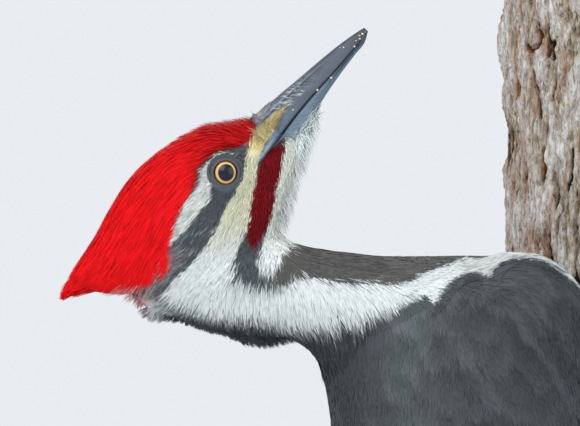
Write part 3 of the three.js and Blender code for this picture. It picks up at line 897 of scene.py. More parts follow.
# The bill, from its tip back to the corner of the gape.
# Rows: back, top, cutting edge, bottom, half width.
billShape = dict(
    rows=[
        (-0.9, 2.7, 1.6, 0.9, 0.7), (2.6, 3.8, 0.9, -0.7, 1.45), (9, 5.5, 0.7, -1, 2.6),
        (18, 7.3, 0.75, -1.5, 3.9), (28, 9, 1.1, -2.5, 5.2), (38, 10.8, 1.2, -4.2, 6.5),
        (48, 12, 0.8, -6, 7.5), (57, 11.4, 0.3, -6.6, 7.8), (63, 9, 0, -6.6, 7.4),
    ],
    rings=104,
    ridge=0.4,
    groove=0.35,
    proud=0.6,  # how far its base stands out of the skin at the gape
)
# Across the upper bill from the culmen to the cutting edge: share of half width, share of height.
upperSection = [
    (0, 1), (0.15, 0.985), (0.32, 0.93), (0.46, 0.85), (0.56, 0.765), (0.6, 0.7), (0.69, 0.6),
    (0.78, 0.47), (0.86, 0.33), (0.93, 0.19), (0.98, 0.07), (1, 0), (0.93, -0.03), (0.5, 0.02),
    (0, 0.03),
]
lowerSection = [
    (0.4, -0.02), (0.88, 0), (0.97, -0.05), (1, -0.16), (0.98, -0.3), (0.92, -0.45), (0.82, -0.6),
    (0.66, -0.76), (0.46, -0.89), (0.22, -0.975), (0, -1),
]
gapeStrip = [  # back and up from the bill's tip: where the horn's base lies bare between the feathers
    (40, 3.6), (47, 4), (54.5, 2.9), (58, 2), (61.9, 0.4), (61.7, -0.6), (56.6, 0), (52, -0.3),
    (47.5, -0.6), (46, -4.4), (42, -5), (38, -5),
]
# The horn's ridge tone is a painted highlight and its groove tone painted shade, both on the lateral ridge.
horn = dict(
    upper="#434d59", crown="#353f4a", ridge="#8f98a2", groove="#1f252b", edge="#5d728a", gape="#8797a6",
    # The seam tone is painted shade in the gape line between the bill's halves.
    tip="#272e36", seamShade="#0b0d10", lower="#637887", lowerTip="#2a353f", lowerBase="#87959c",
    scratch="#a9b1b6",
)
horn = {name: linear(shade) for name, shade in horn.items()}


def inHead(back, rise, side):
    along = np.multiply.outer(back, headBack) + np.multiply.outer(rise, headUp)
    return billTip + along + np.multiply.outer(side, headSide)


def headPlaces(points):
    return np.stack([(points - billTip) @ headBack, (points - billTip) @ headUp], 1)


def line(middle, half, x):  # 1 on a line and fading away from it
    return np.exp(-(((x - middle) / half) ** 2))


def billHalf(name, section, upper):
    back = np.concatenate([np.linspace(-0.9, 5, 14), np.linspace(5.6, 62.5, billShape["rings"])])
    top, edge, bottom, half = through(billShape["rows"], back).T
    wide, high = np.array(section).T
    turnedOver = slice(-2, 0, -1) if section[0][0] == 0 else slice(-2, None, -1)
    wide = np.concatenate([wide, -wide[turnedOver]])
    high = np.concatenate([high, high[turnedOver]])
    span = (top - edge) if upper else (edge - bottom)
    rise = edge[:, None] + span[:, None] * high - (0 if upper else 0.12)
    side = half[:, None] * wide * (1 if upper else 0.97)
    share = np.broadcast_to(high, rise.shape)
    run = np.broadcast_to(back[:, None], rise.shape)
    if upper:
        crest = line(0.765, 0.035, share) - line(0.66, 0.06, share)
        crest = np.where(crest > 0, crest * billShape["ridge"], crest * billShape["groove"])
        side = side + np.sign(wide) * ease(16, 24, run) * ease(52, 44, run) * crest
    points = inHead(run, rise, side)
    # The bare base swells out of the skin at the gape.
    bare = ease(-0.8, 0.8, inPatch(headPlaces(points.reshape(-1, 3)), gapeStrip)).reshape(run.shape)
    reach = np.zeros(run.shape)
    for i, j in zip(*np.nonzero((bare > 0) & (run > 38) & (np.abs(wide) > 0.45))):
        way = headSide * np.sign(wide[j])
        beside = points[i, j] * [1, 0, 1] + headMiddle * headSide + way * 40
        hit = skinSurface["tree"].ray_cast(beside, -way)[0]
        if hit is not None:
            proud = abs(hit[1] - headMiddle[1]) + billShape["proud"]
            reach[i, j] = max(0, proud - abs(points[i, j, 1] - headMiddle[1]))
    around = [np.roll(reach, step, axis) for step in (-1, 1) for axis in (0, 1)]
    points[..., 1] += np.sign(wide) * np.max([reach, *around], axis=0) * bare
    mesh = tube(name, points)
    run, share = run.ravel(), share.ravel()
    if upper:
        layers = [
            ("crown", ease(0.82, 0.97, share) * 0.8),
            ("edge", ease(0.5, 0.15, share) * ease(33, 56, run)),
            ("gape", ease(0.6, 0.2, share) * ease(47, 56, run) * 0.7),
            # Painted highlight along the lateral ridge, and painted shade in the groove under it.
            ("ridge", line(0.775, 0.03, share) * ease(14, 26, run) * 0.55),
            ("groove", line(0.66, 0.05, share) * ease(22, 32, run) * 0.75),
            ("tip", ease(9, 0, run) * 0.7),
            # painted shade along the gape line
            ("seamShade", ease(0.05, 0.0, share)),
        ]
    else:
        layers = [
            ("lowerTip", ease(30, 12, run) * ease(-0.75, -0.4, share)),
            ("lowerBase", ease(26, 40, run) * ease(-0.35, -0.8, share)),
            ("tip", ease(9, 0, run) * 0.6),
            # painted shade along the gape line
            ("seamShade", ease(-0.12, -0.03, share)),
        ]
    shades = horn["upper" if upper else "lower"]
    for shade, amount in layers:
        shades = mixed(shades, horn[shade], amount[:, None])
    grain = points.reshape(-1, 3) @ np.stack([headBack * 0.12, headUp, headSide], 1)
    setColours(mesh, np.clip(shades * (1 + 0.07 * ripple(grain, 1.3, 21))[:, None], 0, 1))
    worn = ease(22, 33, run) * ease(47, 41, run) * ease(0.3, 0.5, share) * ease(0.93, 0.8, share)
    setAmounts(mesh, "worn", worn * upper)
    return mesh


# Horn gives a broad low highlight over fine streaks, with pale scratches where it is worn.
hornMaterial, hornNode = newMaterial("bill horn, worn by bark to a low sheen")
hornPlace = hornNode("TexCoord", output="Object")
# Growth lines are streaks about 17 mm long and 1 to 2 mm wide, and scratches 4 mm by under 1 mm.
hornAlong, scratchAlong = (
    hornNode("Mapping", {"Vector": hornPlace, "Rotation": (0, headPitch, 0), "Scale": scale})
    for scale in ((60, 500, 900), (260, 500, 1300))
)
hornGrain = hornNode("TexNoise", {"Vector": hornAlong, "Scale": 1.0, "Detail": 5.0})
hornTone = hornNode("ValToRGB", {"Fac": hornGrain}, stops=[(0.3, grey(0.8)), (0.7, grey(1.12))])
hornMix = hornNode(
    "Mix", {0: 1.0, 6: hornNode("Attribute", attribute_name="plumage"), 7: hornTone}, output=2,
    data_type="RGBA", blend_type="MULTIPLY",
)
scratchGrain = hornNode(
    "TexNoise", {"Vector": scratchAlong, "Scale": 1.0, "Detail": 4.0, "Roughness": 0.65, "Distortion": 0.8}
)
scratchShare = hornNode("ValToRGB", {"Fac": scratchGrain}, stops=[(0.5, grey(0)), (0.62, grey(1))])
hornWorn = hornNode("Attribute", output="Fac", attribute_name="worn")
scratchAmount = hornNode("Math", {0: scratchShare, 1: hornWorn}, operation="MULTIPLY")
hornMarked = hornNode(
    "Mix", {0: scratchAmount, 6: hornMix, 7: (*horn["scratch"], 1)}, output=2, data_type="RGBA"
)
hornBump = hornNode("Bump", {"Height": hornGrain, "Strength": 0.25, "Distance": 0.0003})
dress(hornMaterial, {
    "Base Color": hornMarked, "Roughness": 0.42, "IOR": 1.54, "Specular IOR Level": 0.3, "Normal": hornBump,
})
billUpper = billHalf("bill_upper_horn", upperSection, True)
billLower = billHalf("bill_lower_horn", lowerSection, False)
addPiece("bill_upper_horn", billUpper, hornMaterial, ["bill_upper"])
addPiece("bill_lower_horn", billLower, hornMaterial, ["bill_lower"])
headSurface = surfaceOf(skinMesh, billUpper, billLower)

# Flakes of dried sap and wood dust stuck to the horn.
# Rows: back, share of height where minus is the lower bill, size.
specks = [
    (1.2, 0.25, 0.42), (2.4, 0.42, 0.3), (3.2, 0.12, 0.36), (4.6, 0.3, 0.26), (6.6, 0.06, 0.34),
    (9.3, 0.62, 0.3), (10.2, 0.78, 0.2), (20.6, -0.3, 0.34), (27.2, -0.02, 0.62),
    (38.3, 0.2, 0.24),
]
speckBuild = bmesh.new()
for back, high, size in specks:
    for side in (-1, 1):
        top, edge, bottom, _ = through(billShape["rows"], np.array([back + 0.8 * (side > 0)]))[0]
        rise = edge + high * ((top - edge) if high > 0 else (edge - bottom))
        aim = inHead(np.array([back]), np.array([rise]), np.array([side * 20.0]))[0]
        spot, out = headSurface["tree"].ray_cast(aim, headSide * -side)[:2]
        if spot is None:
            continue
        flake = bmesh.ops.create_icosphere(speckBuild, subdivisions=2, radius=size / metre)["verts"]
        turn = Vector(out).to_track_quat("Z", "Y").to_matrix().to_4x4()
        squash = Matrix.Diagonal((rng.uniform(0.8, 1.3), rng.uniform(0.7, 1.1), 0.35, 1))
        squash = Matrix.Translation(spot / metre) @ turn @ squash
        bmesh.ops.transform(speckBuild, matrix=squash, verts=flake)
        for vert in flake:
            vert.co += Vector(rng.normal(0, 0.12 * size, 3)) / metre
# Dull crumbs that catch no light, cream to tan, in grains of about 0.5 mm.
speckMaterial, speckNode = newMaterial("dried sap and wood dust, chalky")
speckGrain = speckNode("TexNoise", {"Vector": speckNode("TexCoord", output="Object"), "Scale": 1800.0})
speckTones = [(0.35, colour("#c9a76a")), (0.65, colour("#e9e2cf"))]
speckColour = speckNode("ValToRGB", {"Fac": speckGrain}, stops=speckTones)
dress(speckMaterial, {"Base Color": speckColour, "Roughness": 0.8})
addPiece("bill_flakes", meshFrom(speckBuild, "bill_flakes"), speckMaterial)
print("bill")


# The eyes: one glossy ball each, with its pupil and iris drawn by distance from the line of gaze.
# The pupil lies a little ahead of the iris, and both are slightly taller than wide.
eyeLook = dict(iris=3.84, pupil=2.92, ahead=0.22, across=5.4, upright=5.8, mean=5.6)
eyeBall = dict(segments=64, rings=32)
# The wet cornea gives one small sharp highlight over a duller iris.
eyeMaterial, eyeNode = newMaterial("eye under a wet clear cornea")
eyePlace = eyeNode("TexCoord", output="Object")
eyeOffset = eyeNode("VectorMath", {0: eyePlace, 1: tuple(headMiddle / metre)}, operation="SUBTRACT")
eyeFlat = eyeNode(
    "VectorMath", {0: eyeOffset, 1: (metre / eyeLook["across"], 0, metre / eyeLook["upright"])},
    operation="MULTIPLY",
)
eyeReach = eyeNode("VectorMath", {0: eyeFlat}, output="Value", operation="LENGTH")
eyeFleck = eyeNode("TexNoise", {"Vector": eyePlace, "Scale": 2200.0, "Detail": 3.0})
eyeRagged = eyeNode("Math", {0: eyeFleck, 1: 0.03, 2: eyeReach}, operation="MULTIPLY_ADD")
pupilShare, irisShare = (eyeLook[part] / eyeLook["mean"] + 0.015 for part in ("pupil", "iris"))
eyeRing = eyeNode("ValToRGB", {"Fac": eyeRagged}, stops=[
    (0.0, colour("#d9a878")), (irisShare - 0.12, colour("#e2b276")), (irisShare - 0.05, colour("#dcae5c")),
    (irisShare - 0.02, colour("#b98038")), (irisShare + 0.01, colour("#15171b")), (1.0, colour("#15171b")),
])
pupilFlat = eyeNode(
    "VectorMath", {0: eyeFlat, 1: (-eyeLook["ahead"] / eyeLook["across"], 0, 0)}, operation="ADD"
)
pupilReach = eyeNode("VectorMath", {0: pupilFlat}, output="Value", operation="LENGTH")
pupilEdge = [(pupilShare - 0.03, grey(0)), (pupilShare + 0.03, grey(1))]
outside = eyeNode("ValToRGB", {"Fac": pupilReach}, stops=pupilEdge)
# The pupil's dark navy is black with a painted reflection of the sky's blue.
eyeColour = eyeNode("Mix", {0: outside, 6: colour("#081420"), 7: eyeRing}, output=2, data_type="RGBA")
dress(eyeMaterial, {
    "Base Color": eyeColour, "Roughness": 0.25, "IOR": 1.38, "Specular IOR Level": 0.2,
    "Coat Weight": 0.45, "Coat Roughness": 0.03,
})

# The lids: rings of bare wrinkled skin from the rim of the eye out to where the feathers start.
lidShape = dict(
    tucked=(4.35, 4.15), inner=4.02, outer=7.5, rings=44, around=120, wrinkle=0.12, pitch=0.72, rim=0.42,
)
# Bare dry skin looks dull, with creases about 0.7 mm apart.
lidMaterial, lidNode = newMaterial("bare eyelid skin, finely creased")
lidPlace = lidNode("TexCoord", output="Object")
lidGrain = lidNode("TexNoise", {"Vector": lidPlace, "Scale": 1400.0, "Detail": 4.0})
lidBump = lidNode("Bump", {"Height": lidGrain, "Strength": 0.4, "Distance": 0.0002})
dress(lidMaterial, {
    "Base Color": lidNode("Attribute", attribute_name="plumage"), "Roughness": 0.55, "IOR": 1.42,
    "Normal": lidBump,
})
inner, outer = lidShape["inner"], lidShape["outer"]
lidReach = np.concatenate([lidShape["tucked"], np.linspace(inner, outer, lidShape["rings"])])
rimHeight = math.sqrt(eyeRadius**2 - inner**2) + lidShape["rim"]

for name, side in sides:
    middle = headMiddle + headSide * side * eyeSide
    build = bmesh.new()
    ball = bmesh.ops.create_uvsphere(
        build, u_segments=eyeBall["segments"], v_segments=eyeBall["rings"], radius=eyeRadius / metre
    )
    turn = Matrix.Translation(Vector(middle / metre)) @ Matrix.Rotation(math.pi / 2, 4, "X")
    bmesh.ops.transform(build, matrix=turn, verts=ball["verts"])
    ball = f"eye_{name}_ball"
    addPiece(ball, meshFrom(build, ball), eyeMaterial, [f"eye_{name}"])

    build = turned([(r, 0) for r in lidReach], (0, 1, 0), lidShape["around"])
    bmesh.ops.recalc_face_normals(build, faces=build.faces)
    mesh = meshFrom(build, f"lid_{name}")
    local = pointsOf(mesh)
    distance = np.hypot(local[:, 0], local[:, 2])
    turn = np.arctan2(local[:, 2], local[:, 0])
    places = middle + local
    ground = np.empty(len(places))  # how far out the skin lies under each point
    for i, place in enumerate(places):
        hit = skinSurface["tree"].ray_cast(place + headSide * side * 30, -headSide * side)[0]
        ground[i] = abs(hit[1] - middle[1]) if hit is not None else 0
    rise = mixed(rimHeight, ground - 0.25, ease(inner + 0.5, outer, distance))
    rise -= 0.25 * ease(inner + 0.35, inner, distance)
    waver = 0.9 * np.sin(2 * turn + 0.6) + 0.5 * np.sin(5 * turn)
    waver = distance + 0.14 * waver + 0.2 * ripple(places, 3, 6)
    crease = np.sin(waver / lidShape["pitch"] * 2 * math.pi)
    crease = crease * (0.65 + 0.35 * ripple(places, 4, 7)) + 0.35 * ripple(places, 0.9, 9)
    rise += crease * lidShape["wrinkle"] * ease(inner + 0.5, inner + 1.2, distance)
    places[:, 1] = middle[1] + side * rise
    movePoints(mesh, places)
    # Painted shade: the skin is darker in the troughs of its creases and paler on their ridges.
    tone = plumage["eyeSkin"] * (0.9 + 0.22 * crease + 0.1 * ripple(places, 2, 5))[:, None]
    tone = tone * (1 + np.array([0.22, 0.06, 0.16]) * ease(0, -5, local[:, 0])[:, None])  # mauve behind
    tone *= (0.35 + 0.65 * ease(inner + 0.1, inner + 0.7, distance))[:, None]
    setColours(mesh, np.clip(tone, 0, 1))
    addPiece(f"lid_{name}", mesh, lidMaterial)
print("eyes")


foreheadPatch = [(4.5, 21.5), (8, 19.5), (10.8, 17), (12.6, 18.4), (13.6, 21), (13, 25), (9, 26), (4, 24)]
nasalPatch = [
    (8.3, 9.5), (9.5, 14), (11.5, 16), (14, 18.2), (17, 20.6), (18.4, 20.6), (17, 17.5),
    (14.8, 12.3), (12.3, 8.5),
]
nasalEnd = np.array([22.6, 25.2])
faceCoat = dict(
    length=3.4, width=0.36, lift=0.5, joints=3, vary=0.1, stray=0.18, roll=0.35, shade=0.82, spacing=0.46,
    mingle=0.4, fading=True, odd=(0.12, 0.65, 1.25),
)


def onFace(points):
    plan = planOf(points)
    feathered = (onHead(points) > -4) * (onCrest(points) < 1.2) * (awayFromEye(points) > 6.0)
    bare = (inPatch(headPlaces(points), gapeStrip) < -0.2) * (inPatch(plan, nasalPatch) < 0.6)
    return feathered * (inPatch(plan, foreheadPatch) < 1) * bare


roots, out = sow(faceCoat["spacing"], onFace)
covers = inPatch(headPlaces(roots + lieAt(roots, out) * 2.4), gapeStrip) > -0.3
growTufts(
    "coat_face", "face", roots, out, faceCoat,
    scale=np.interp(awayFromEye(roots), [6, 11], [0.4, 1]) * np.where(covers, 0.35, 1),
)

crestCoat = dict(
    length=15, width=0.42, lift=0.8, joints=4, vary=0.09, stray=0.08, roll=0.3, shade=0.8, spacing=0.54,
    clump=1.5, gather=0.2, bend=0.8, round=0.15, odd=(0.14, 0.45, 0.85), reach=60,
    along=([-24, -5, 20, 44, 56, 66], [0.22, 0.5, 1.0, 1.0, 0.55, 0.2]),  # share of length, front to back
)
roots, out = sow(
    crestCoat["spacing"],
    lambda p: (onCrest(p) > -0.3) * ((p - headMiddle) @ headBack < crestCoat["reach"]),
)
back = (roots - headMiddle) @ headBack
growTufts(
    "coat_crest", "crest", roots, out, crestCoat,
    scale=np.interp(back, *crestCoat["along"]), rise=1 + 2 * ease(2, -14, back),
)

# The longest crest feathers run on together into a blunt point.
tipCoat = dict(
    length=0.8, width=0.45, lift=0.5, joints=4, vary=0.1, stray=0, roll=0.6, shade=0.8, spacing=0.6,
    free=True,
)
crestEnd = headMiddle + np.array([-59.4, 0, -45.2])
roots, out = sow(
    tipCoat["spacing"], lambda p: (onCrest(p) > 0) * (np.linalg.norm(p - crestEnd, axis=1) < 15)
)
run = crestEnd + rng.normal(0, 0.8, (len(roots), 3)) * [1, 0.9, 1] - roots
growTufts(
    "coat_crest_tip", "crest", roots, out, tipCoat, way=unit(run), dye=plumage["crest"],
    scale=np.linalg.norm(run, axis=1) * rng.uniform(0.75, 1, len(roots)),
)

# Stiff bristles lie forward over the base of the bill, and fine ones stand out under the chin.
nasalCoat = dict(
    length=6.4, width=0.22, lift=0.45, joints=5, vary=0.12, stray=0.08, roll=0.3, shade=0.85, spacing=0.3,
)
roots, out = sow(nasalCoat["spacing"], lambda p: inPatch(planOf(p), nasalPatch) > 0, headSurface)
paler = rng.random((len(roots), 1))
tan = ease(11, 16, planOf(roots)[:, :1]) * (rng.random((len(roots), 1)) < 0.6)
tan = tan * rng.uniform(0.5, 0.9, (len(roots), 1))
left = nasalEnd - planOf(roots)
forward = np.stack([left[:, 0], np.zeros(len(left)), left[:, 1]], 1)
growTufts(
    "coat_nasal", "face", roots, out, nasalCoat, way=alongSkin(forward, out), surface=headSurface,
    scale=rng.uniform(0.5, 1.0, len(roots)) * np.clip(np.linalg.norm(left, axis=1) / 6, 0.4, 1.1),
    dye=mixed(plumage["yellow"], plumage["cream"], paler) * (0.86 - tan * [0.62, 0.66, 0.72]),
)

foreheadCoat = dict(
    length=4.2, width=0.26, lift=0.4, joints=4, vary=0.2, stray=0.14, roll=0.25, shade=0.85, spacing=0.42,
)
roots, out = sow(foreheadCoat["spacing"], lambda p: inPatch(planOf(p), foreheadPatch) > 0, headSurface)
reddish = rng.random((len(roots), 1)) < 0.35 * ease(14, 8, planOf(roots)[:, :1])
greyish = plumage["forehead"] * (0.35 + 1.6 * rng.random((len(roots), 1)))
growTufts(
    "coat_forehead", "face", roots, out, foreheadCoat, way=alongSkin(unit(-headBack + headUp * 0.15), out),
    surface=headSurface, dye=np.where(reddish, plumage["crest"] * 0.8, greyish),
)

# Under the bill's base feathers creep forward over the horn.
gonysCoat = dict(
    length=4.4, width=0.28, lift=0.5, joints=3, vary=0.12, stray=0.25, roll=0.4, shade=0.9, spacing=0.42,
    odd=(0.2, 0.4, 0.8),
)
gonysPatch = [(34, -3), (38, -2.6), (42, -3), (46, -3.6), (50, -4), (52, -14), (34, -14)]
roots, out = sow(
    gonysCoat["spacing"],
    lambda p: (inPatch(headPlaces(p), gonysPatch) > 0) * ease(32, 40, headPlaces(p)[:, 0]), headSurface,
)
growTufts(
    "coat_gonys", "face", roots, out, gonysCoat, way=alongSkin(unit(-headBack - headUp * 0.35), out),
    surface=headSurface, dye=plumage["white"] * [0.92, 0.98, 1.02],
)

chinCoat = dict(
    length=6.5, width=0.17, lift=0, joints=3, vary=0.1, stray=0.3, roll=0.5, shade=0.95, spacing=0.75,
    stand=0.7, free=True,
)


def onChin(points):
    right = planOf(points)[:, 0]
    low = (headPlaces(points)[:, 1] < -3) * (np.abs(points[:, 1] - headMiddle[1]) < 6)
    return (right > 12) * (right < 40) * (onHead(points) > 2) * (onCrest(points) < 0) * low


# Painted light: the chin's bristles are whiter than the plumage's own white, as if lit from behind.
roots, out = sow(chinCoat["spacing"], onChin, headSurface)
growTufts(
    "coat_chin", "face", roots, out, chinCoat, dye=np.minimum(plumage["white"] * 1.25, 0.95),
    surface=headSurface,
)

neckCoat = dict(
    length=8, width=0.36, lift=0.9, joints=3, vary=0.05, stray=0.2, roll=0.25, shade=0.95, spacing=0.5,
    clump=3.2, gather=0.45, bend=1.3, round=0.08, mingle=1.2, fading=True,
)
roots, out = sow(neckCoat["spacing"], lambda p: (onHead(p) <= 0) * (onNeck(p) > -6))
right, above = planOf(roots).T
aboveBand = ease(-42, -38, above) * ease(12, 22, right)
growTufts(
    "coat_neck", "neck", roots, out, neckCoat,
    scale=(1 - 0.45 * aboveBand) * (1 - 0.5 * ease(-22, -28, right)), rise=1 - 0.75 * aboveBand,
)

# Loose feather ends hang from the nape and from the underside of the neck.
hangCoat = dict(
    length=5.2, width=0.26, lift=0, joints=3, vary=0.12, stray=0.25, roll=0.5, shade=0.95, spacing=0.5,
    free=True, clump=2.4, gather=0.45, odd=(0.2, 0.65, 1.3),
    under=([-38, -20, 0, 24], [-44.5, -50.5, -56, -59]),  # grows below this line, right and above
    along=([-38, -30, -22, -12, -2, 4, 14, 20, 26], [1.1, 1.1, 0.7, 0.45, 0.6, 1, 1, 0.7, 0.3]),
)


def underNape(points):
    right, above = planOf(points).T
    thick = ease(-39, -36, right) * ease(27, 20, right) * np.interp(right, [-28, -24], [2, 1])
    below = above < np.interp(right, *hangCoat["under"])
    return (onHead(points) < 3) * (onCrest(points) < 0) * thick * below


roots, out = sow(hangCoat["spacing"], underNape)
low = out[:, 2] < 0.25
roots, out = roots[low], out[low]
hanging = unit(lieAt(roots, out) * 0.7 + out * 0.25 + np.array([0.1, 0, -0.6]))
growTufts(
    "coat_neck_fringe", "neck", roots, out, hangCoat, way=hanging, dye=markings(roots),
    scale=np.interp(planOf(roots)[:, 0], *hangCoat["along"]),
)

# Body feathers: each one is a fan of soft barbs from a single root.
bodyCoat = dict(
    length=12.5, width=1.1, lift=1.2, joints=3, vary=0.05, stray=0.05, roll=0.2, shade=0.82, spacing=3.1,
    barbs=9, spread=0.42, sway=0.1,
)
# The folded wing: height, angle of its back edge and front edge from the middle of the back,
# then the body section there: distance of its middle from the log's axis, half depth, half width.
wingRows = [
    (150, 2.5, 24, 106.5, 7, 14), (166, 2, 36, 108.6, 9, 17), (184, 2, 48, 111.5, 14, 23),
    (206, 4, 62, 117, 22, 30), (236, 8, 76, 126.5, 34, 38), (270, 14, 88, 135, 42, 44.5),
    (306, 22, 99, 141.5, 47, 49.5), (340, 31, 110, 144.6, 50, 52), (366, 40, 120, 144.5, 50, 52.5),
    (382, 50, 126, 143.6, 45, 48), (392, 64, 122, 143.3, 37, 41), (397, 82, 108, 143, 28, 32),
]


def onBody(height):  # the folded wing's row at each height
    return through(wingRows, np.clip(height, wingRows[0][0], wingRows[-1][0]))


def wingShare(points):  # 0 at the wing's back edge and 1 at its front edge, either side
    rows = onBody(points[:, 2])
    across = np.abs(points @ leftWay) / rows[:, 4]
    deep = (points @ dorsal - rows[:, 2]) / rows[:, 3]
    return (np.degrees(np.arctan2(across, deep)) - rows[:, 0]) / (rows[:, 1] - rows[:, 0])


def onWings(points):
    share = wingShare(points)
    return (share > 0.03) & (share < 0.97)


def underVanes(points):  # where the wing's own stiff feathers cover the coat
    return (points[:, 2] < 318 + 4 * ripple(points, 9, 72)) & onWings(points)


def growFans(name, tract, roots, out, coat, size, rise):
    lie = swayed(lieAt(roots, out), out, coat["sway"])
    tone = markings(roots + lie * coat["length"] * 0.65) * rng.uniform(0.93, 1.07, (len(roots), 1))
    turns, many = np.linspace(-1, 1, coat["barbs"]), (coat["barbs"], 1)
    ways = [
        unit(lie * math.cos(turn) + np.cross(out, lie) * math.sin(turn)) for turn in turns * coat["spread"]
    ]
    growTufts(
        name, tract, np.tile(roots, many), np.tile(out, many), coat, way=np.concatenate(ways),
        dye=np.tile(tone, many), rise=np.tile(rise, many[0]),
        scale=np.repeat(1 - 0.2 * turns**2, len(roots)) * np.tile(size, many[0]),
    )


mantleCoat = dict(
    length=6.5, width=1.0, lift=0.3, joints=3, vary=0.04, stray=0.14, roll=0.12, shade=0.96, spacing=0.8,
    round=0.08, mingle=0.4, fading=True,
    fringe=3,  # feathers are shorter and closer this near to the white's border
)


def overBelly(points):  # above zero where the short feathers of the mantle grow
    return points[:, 2] - 330 - 9 * ripple(points, 20, 71) + 12 * onWings(points)


def nearWhite(points):
    return np.abs(inPatch(planOf(points), shoulderPatch)) < mantleCoat["fringe"]


for name, side in sides:
    roots, out = sow(
        mantleCoat["spacing"],
        lambda p: (onNeck(p) <= 0) * (overBelly(p) > 0) * ((p @ leftWay) * side > 0) * ~underVanes(p)
        * np.where(nearWhite(p), 3, 1),
    )
    growTufts(
        f"coat_mantle_{name}", "body", roots, out, mantleCoat, scale=np.where(nearWhite(roots), 0.35, 1),
        rise=1 + 5 * ease(345, 328, roots[:, 2]) * onWings(roots),
    )
edgeCoat = dict(
    length=5.5, width=0.42, lift=0.9, joints=3, vary=0.04, stray=0.06, roll=0.3, shade=0.92, spacing=0.42,
)
roots, out = sow(
    edgeCoat["spacing"],
    lambda p: (onNeck(p) <= 0) * (inPatch(planOf(p), shoulderPatch) > 0) * (planOf(p)[:, 0] > 84)
    * ((p[:, 2] < 395) | (p @ leftWay < 8)),
)
ends = inPatch(planOf(roots + lieAt(roots, out) * edgeCoat["length"] * 0.8), shoulderPatch)
growTufts(
    "coat_wing_edge", "body", roots, out, edgeCoat, scale=np.interp(ends, [-1.5, 0], [0.3, 1]),
    dye=plumage["white"],
)
roots, out = sow(
    bodyCoat["spacing"], lambda p: (onNeck(p) <= 0) * ~underVanes(p) * (overBelly(p) < 7) * 4.0
)
kept = thinned(roots, bodyCoat["spacing"] * 0.9)
roots, out = roots[kept], out[kept]
growFans(
    "coat_belly", "body", roots, out, bodyCoat, np.interp(roots[:, 2], [165, 215], [0.45, 1]),
    np.interp(roots[:, 2], [290, 340], [1, 0.35]),
)


# Stiff feathers: closed vanes with a raised shaft, laid over the skin in overlapping rows.
vaneShape = dict(
    across=np.array([-1, -0.55, -0.09, 0, 0.09, 0.55, 1, 0.55, 0, -0.55]),
    rise=np.array([0, 0.16, 0.2, 0.34, 0.2, 0.16, 0, -0.12, -0.12, -0.12]),
    pointed=2.6, camber=0.1, tone=linear("#343839"), shaft=0.72, edge=0.22, root=0.72,
)


def growVanes(name, vanes, place, rows=12):
    # Each vane: its side, root and tip on the plan, half width, lifts at root and tip, and tone.
    points, tones, marks, triangles = [], [], [], []
    share = np.linspace(0, 1, rows)
    across, ring = vaneShape["across"], len(vaneShape["across"])
    low = np.arange(rows - 1)[:, None] * ring
    a, b = low + np.arange(ring), low + (np.arange(ring) + 1) % ring
    walls = np.stack([a, a + ring, b, b, a + ring, b + ring], -1).reshape(-1, 3)
    fan = np.stack([np.zeros(ring - 2), np.arange(1, ring - 1), np.arange(2, ring)], -1)
    pattern = np.concatenate([walls, fan, fan[:, ::-1] + (rows - 1) * ring]).astype(int)
    bands = 1 + vaneShape["edge"] * np.abs(across) ** 3
    bands = bands * np.where(np.abs(across) < 0.05, vaneShape["shaft"], 1)
    shading = (vaneShape["root"] + (1 - vaneShape["root"]) * share)[:, None, None] * bands[None, :, None]
    for count, vane in enumerate(vanes):
        grip = mixed(np.array(vane["root"]), np.array(vane["tip"]), share[:, None])
        pointed = vane.get("pointed", vaneShape["pointed"])
        profile = np.clip(1 - share**pointed, 0, 1) ** 0.6 * (0.55 + 0.45 * np.minimum(share / 0.25, 1))
        off = (vane["half"] * np.maximum(profile, 0.03))[:, None] * across
        centre, outward, sideways = place(vane["side"], grip)
        lift = vane["lift"][0] + (vane["lift"][1] - vane["lift"][0]) * share
        camber = -vaneShape["camber"] * off**2 / max(vane["half"], 1)
        height = lift[:, None] + vaneShape["rise"] * vane.get("thick", 1.0) + camber + vane["tilt"] * off
        shape = centre[:, None] + sideways[:, None] * off[..., None] + outward[:, None] * height[..., None]
        points.append(shape.reshape(-1, 3))
        triangles.append(pattern + count * rows * ring)
        tones.append((vane["tone"] * shading).reshape(-1, 3))
        spot = np.stack(np.broadcast_arrays(across * 0.0013, (share[:, None] - 0.5) * 0.0026), -1)
        marks.append((bodyUnwrap(centre[:1])[0] + spot).reshape(-1, 2))
    whole = [np.concatenate(parts) for parts in (points, triangles, tones, marks)]
    finishCoat(name, *whole, vaneMaterial, "flight_feathers")


def onWing(side, grip):  # places on the skin from a share across the wing and a height
    share, height = grip.T
    rows = onBody(height)
    turn = np.radians(rows[:, 0] + (rows[:, 1] - rows[:, 0]) * share)
    back, aside = np.outer(np.cos(turn), dorsal), side * np.outer(np.sin(turn), leftWay)
    deep, wide = rows[:, 3:4], rows[:, 4:5]
    places = dorsal * rows[:, 2:3] + upright * height[:, None] + back * deep + aside * wide
    outward = unit(back / deep + aside / wide)
    for i in range(len(places)):
        hit = skinSurface["tree"].ray_cast(places[i] + outward[i] * 25, -outward[i], 50)[0]
        if hit is not None:
            places[i] = hit
    places[1:-1] = (places[:-2] + places[1:-1] * 2 + places[2:]) / 4
    run = unit(np.gradient(places, axis=0))
    sideways = unit(np.cross(run, outward)) * side
    return places, unit(np.cross(sideways, run) * side), sideways


# Close barbs look smooth and dark, under a broad dim sheen.
vaneMaterial, vaneNode = newMaterial("flight feather vane, close barbs with a faint oily gloss")
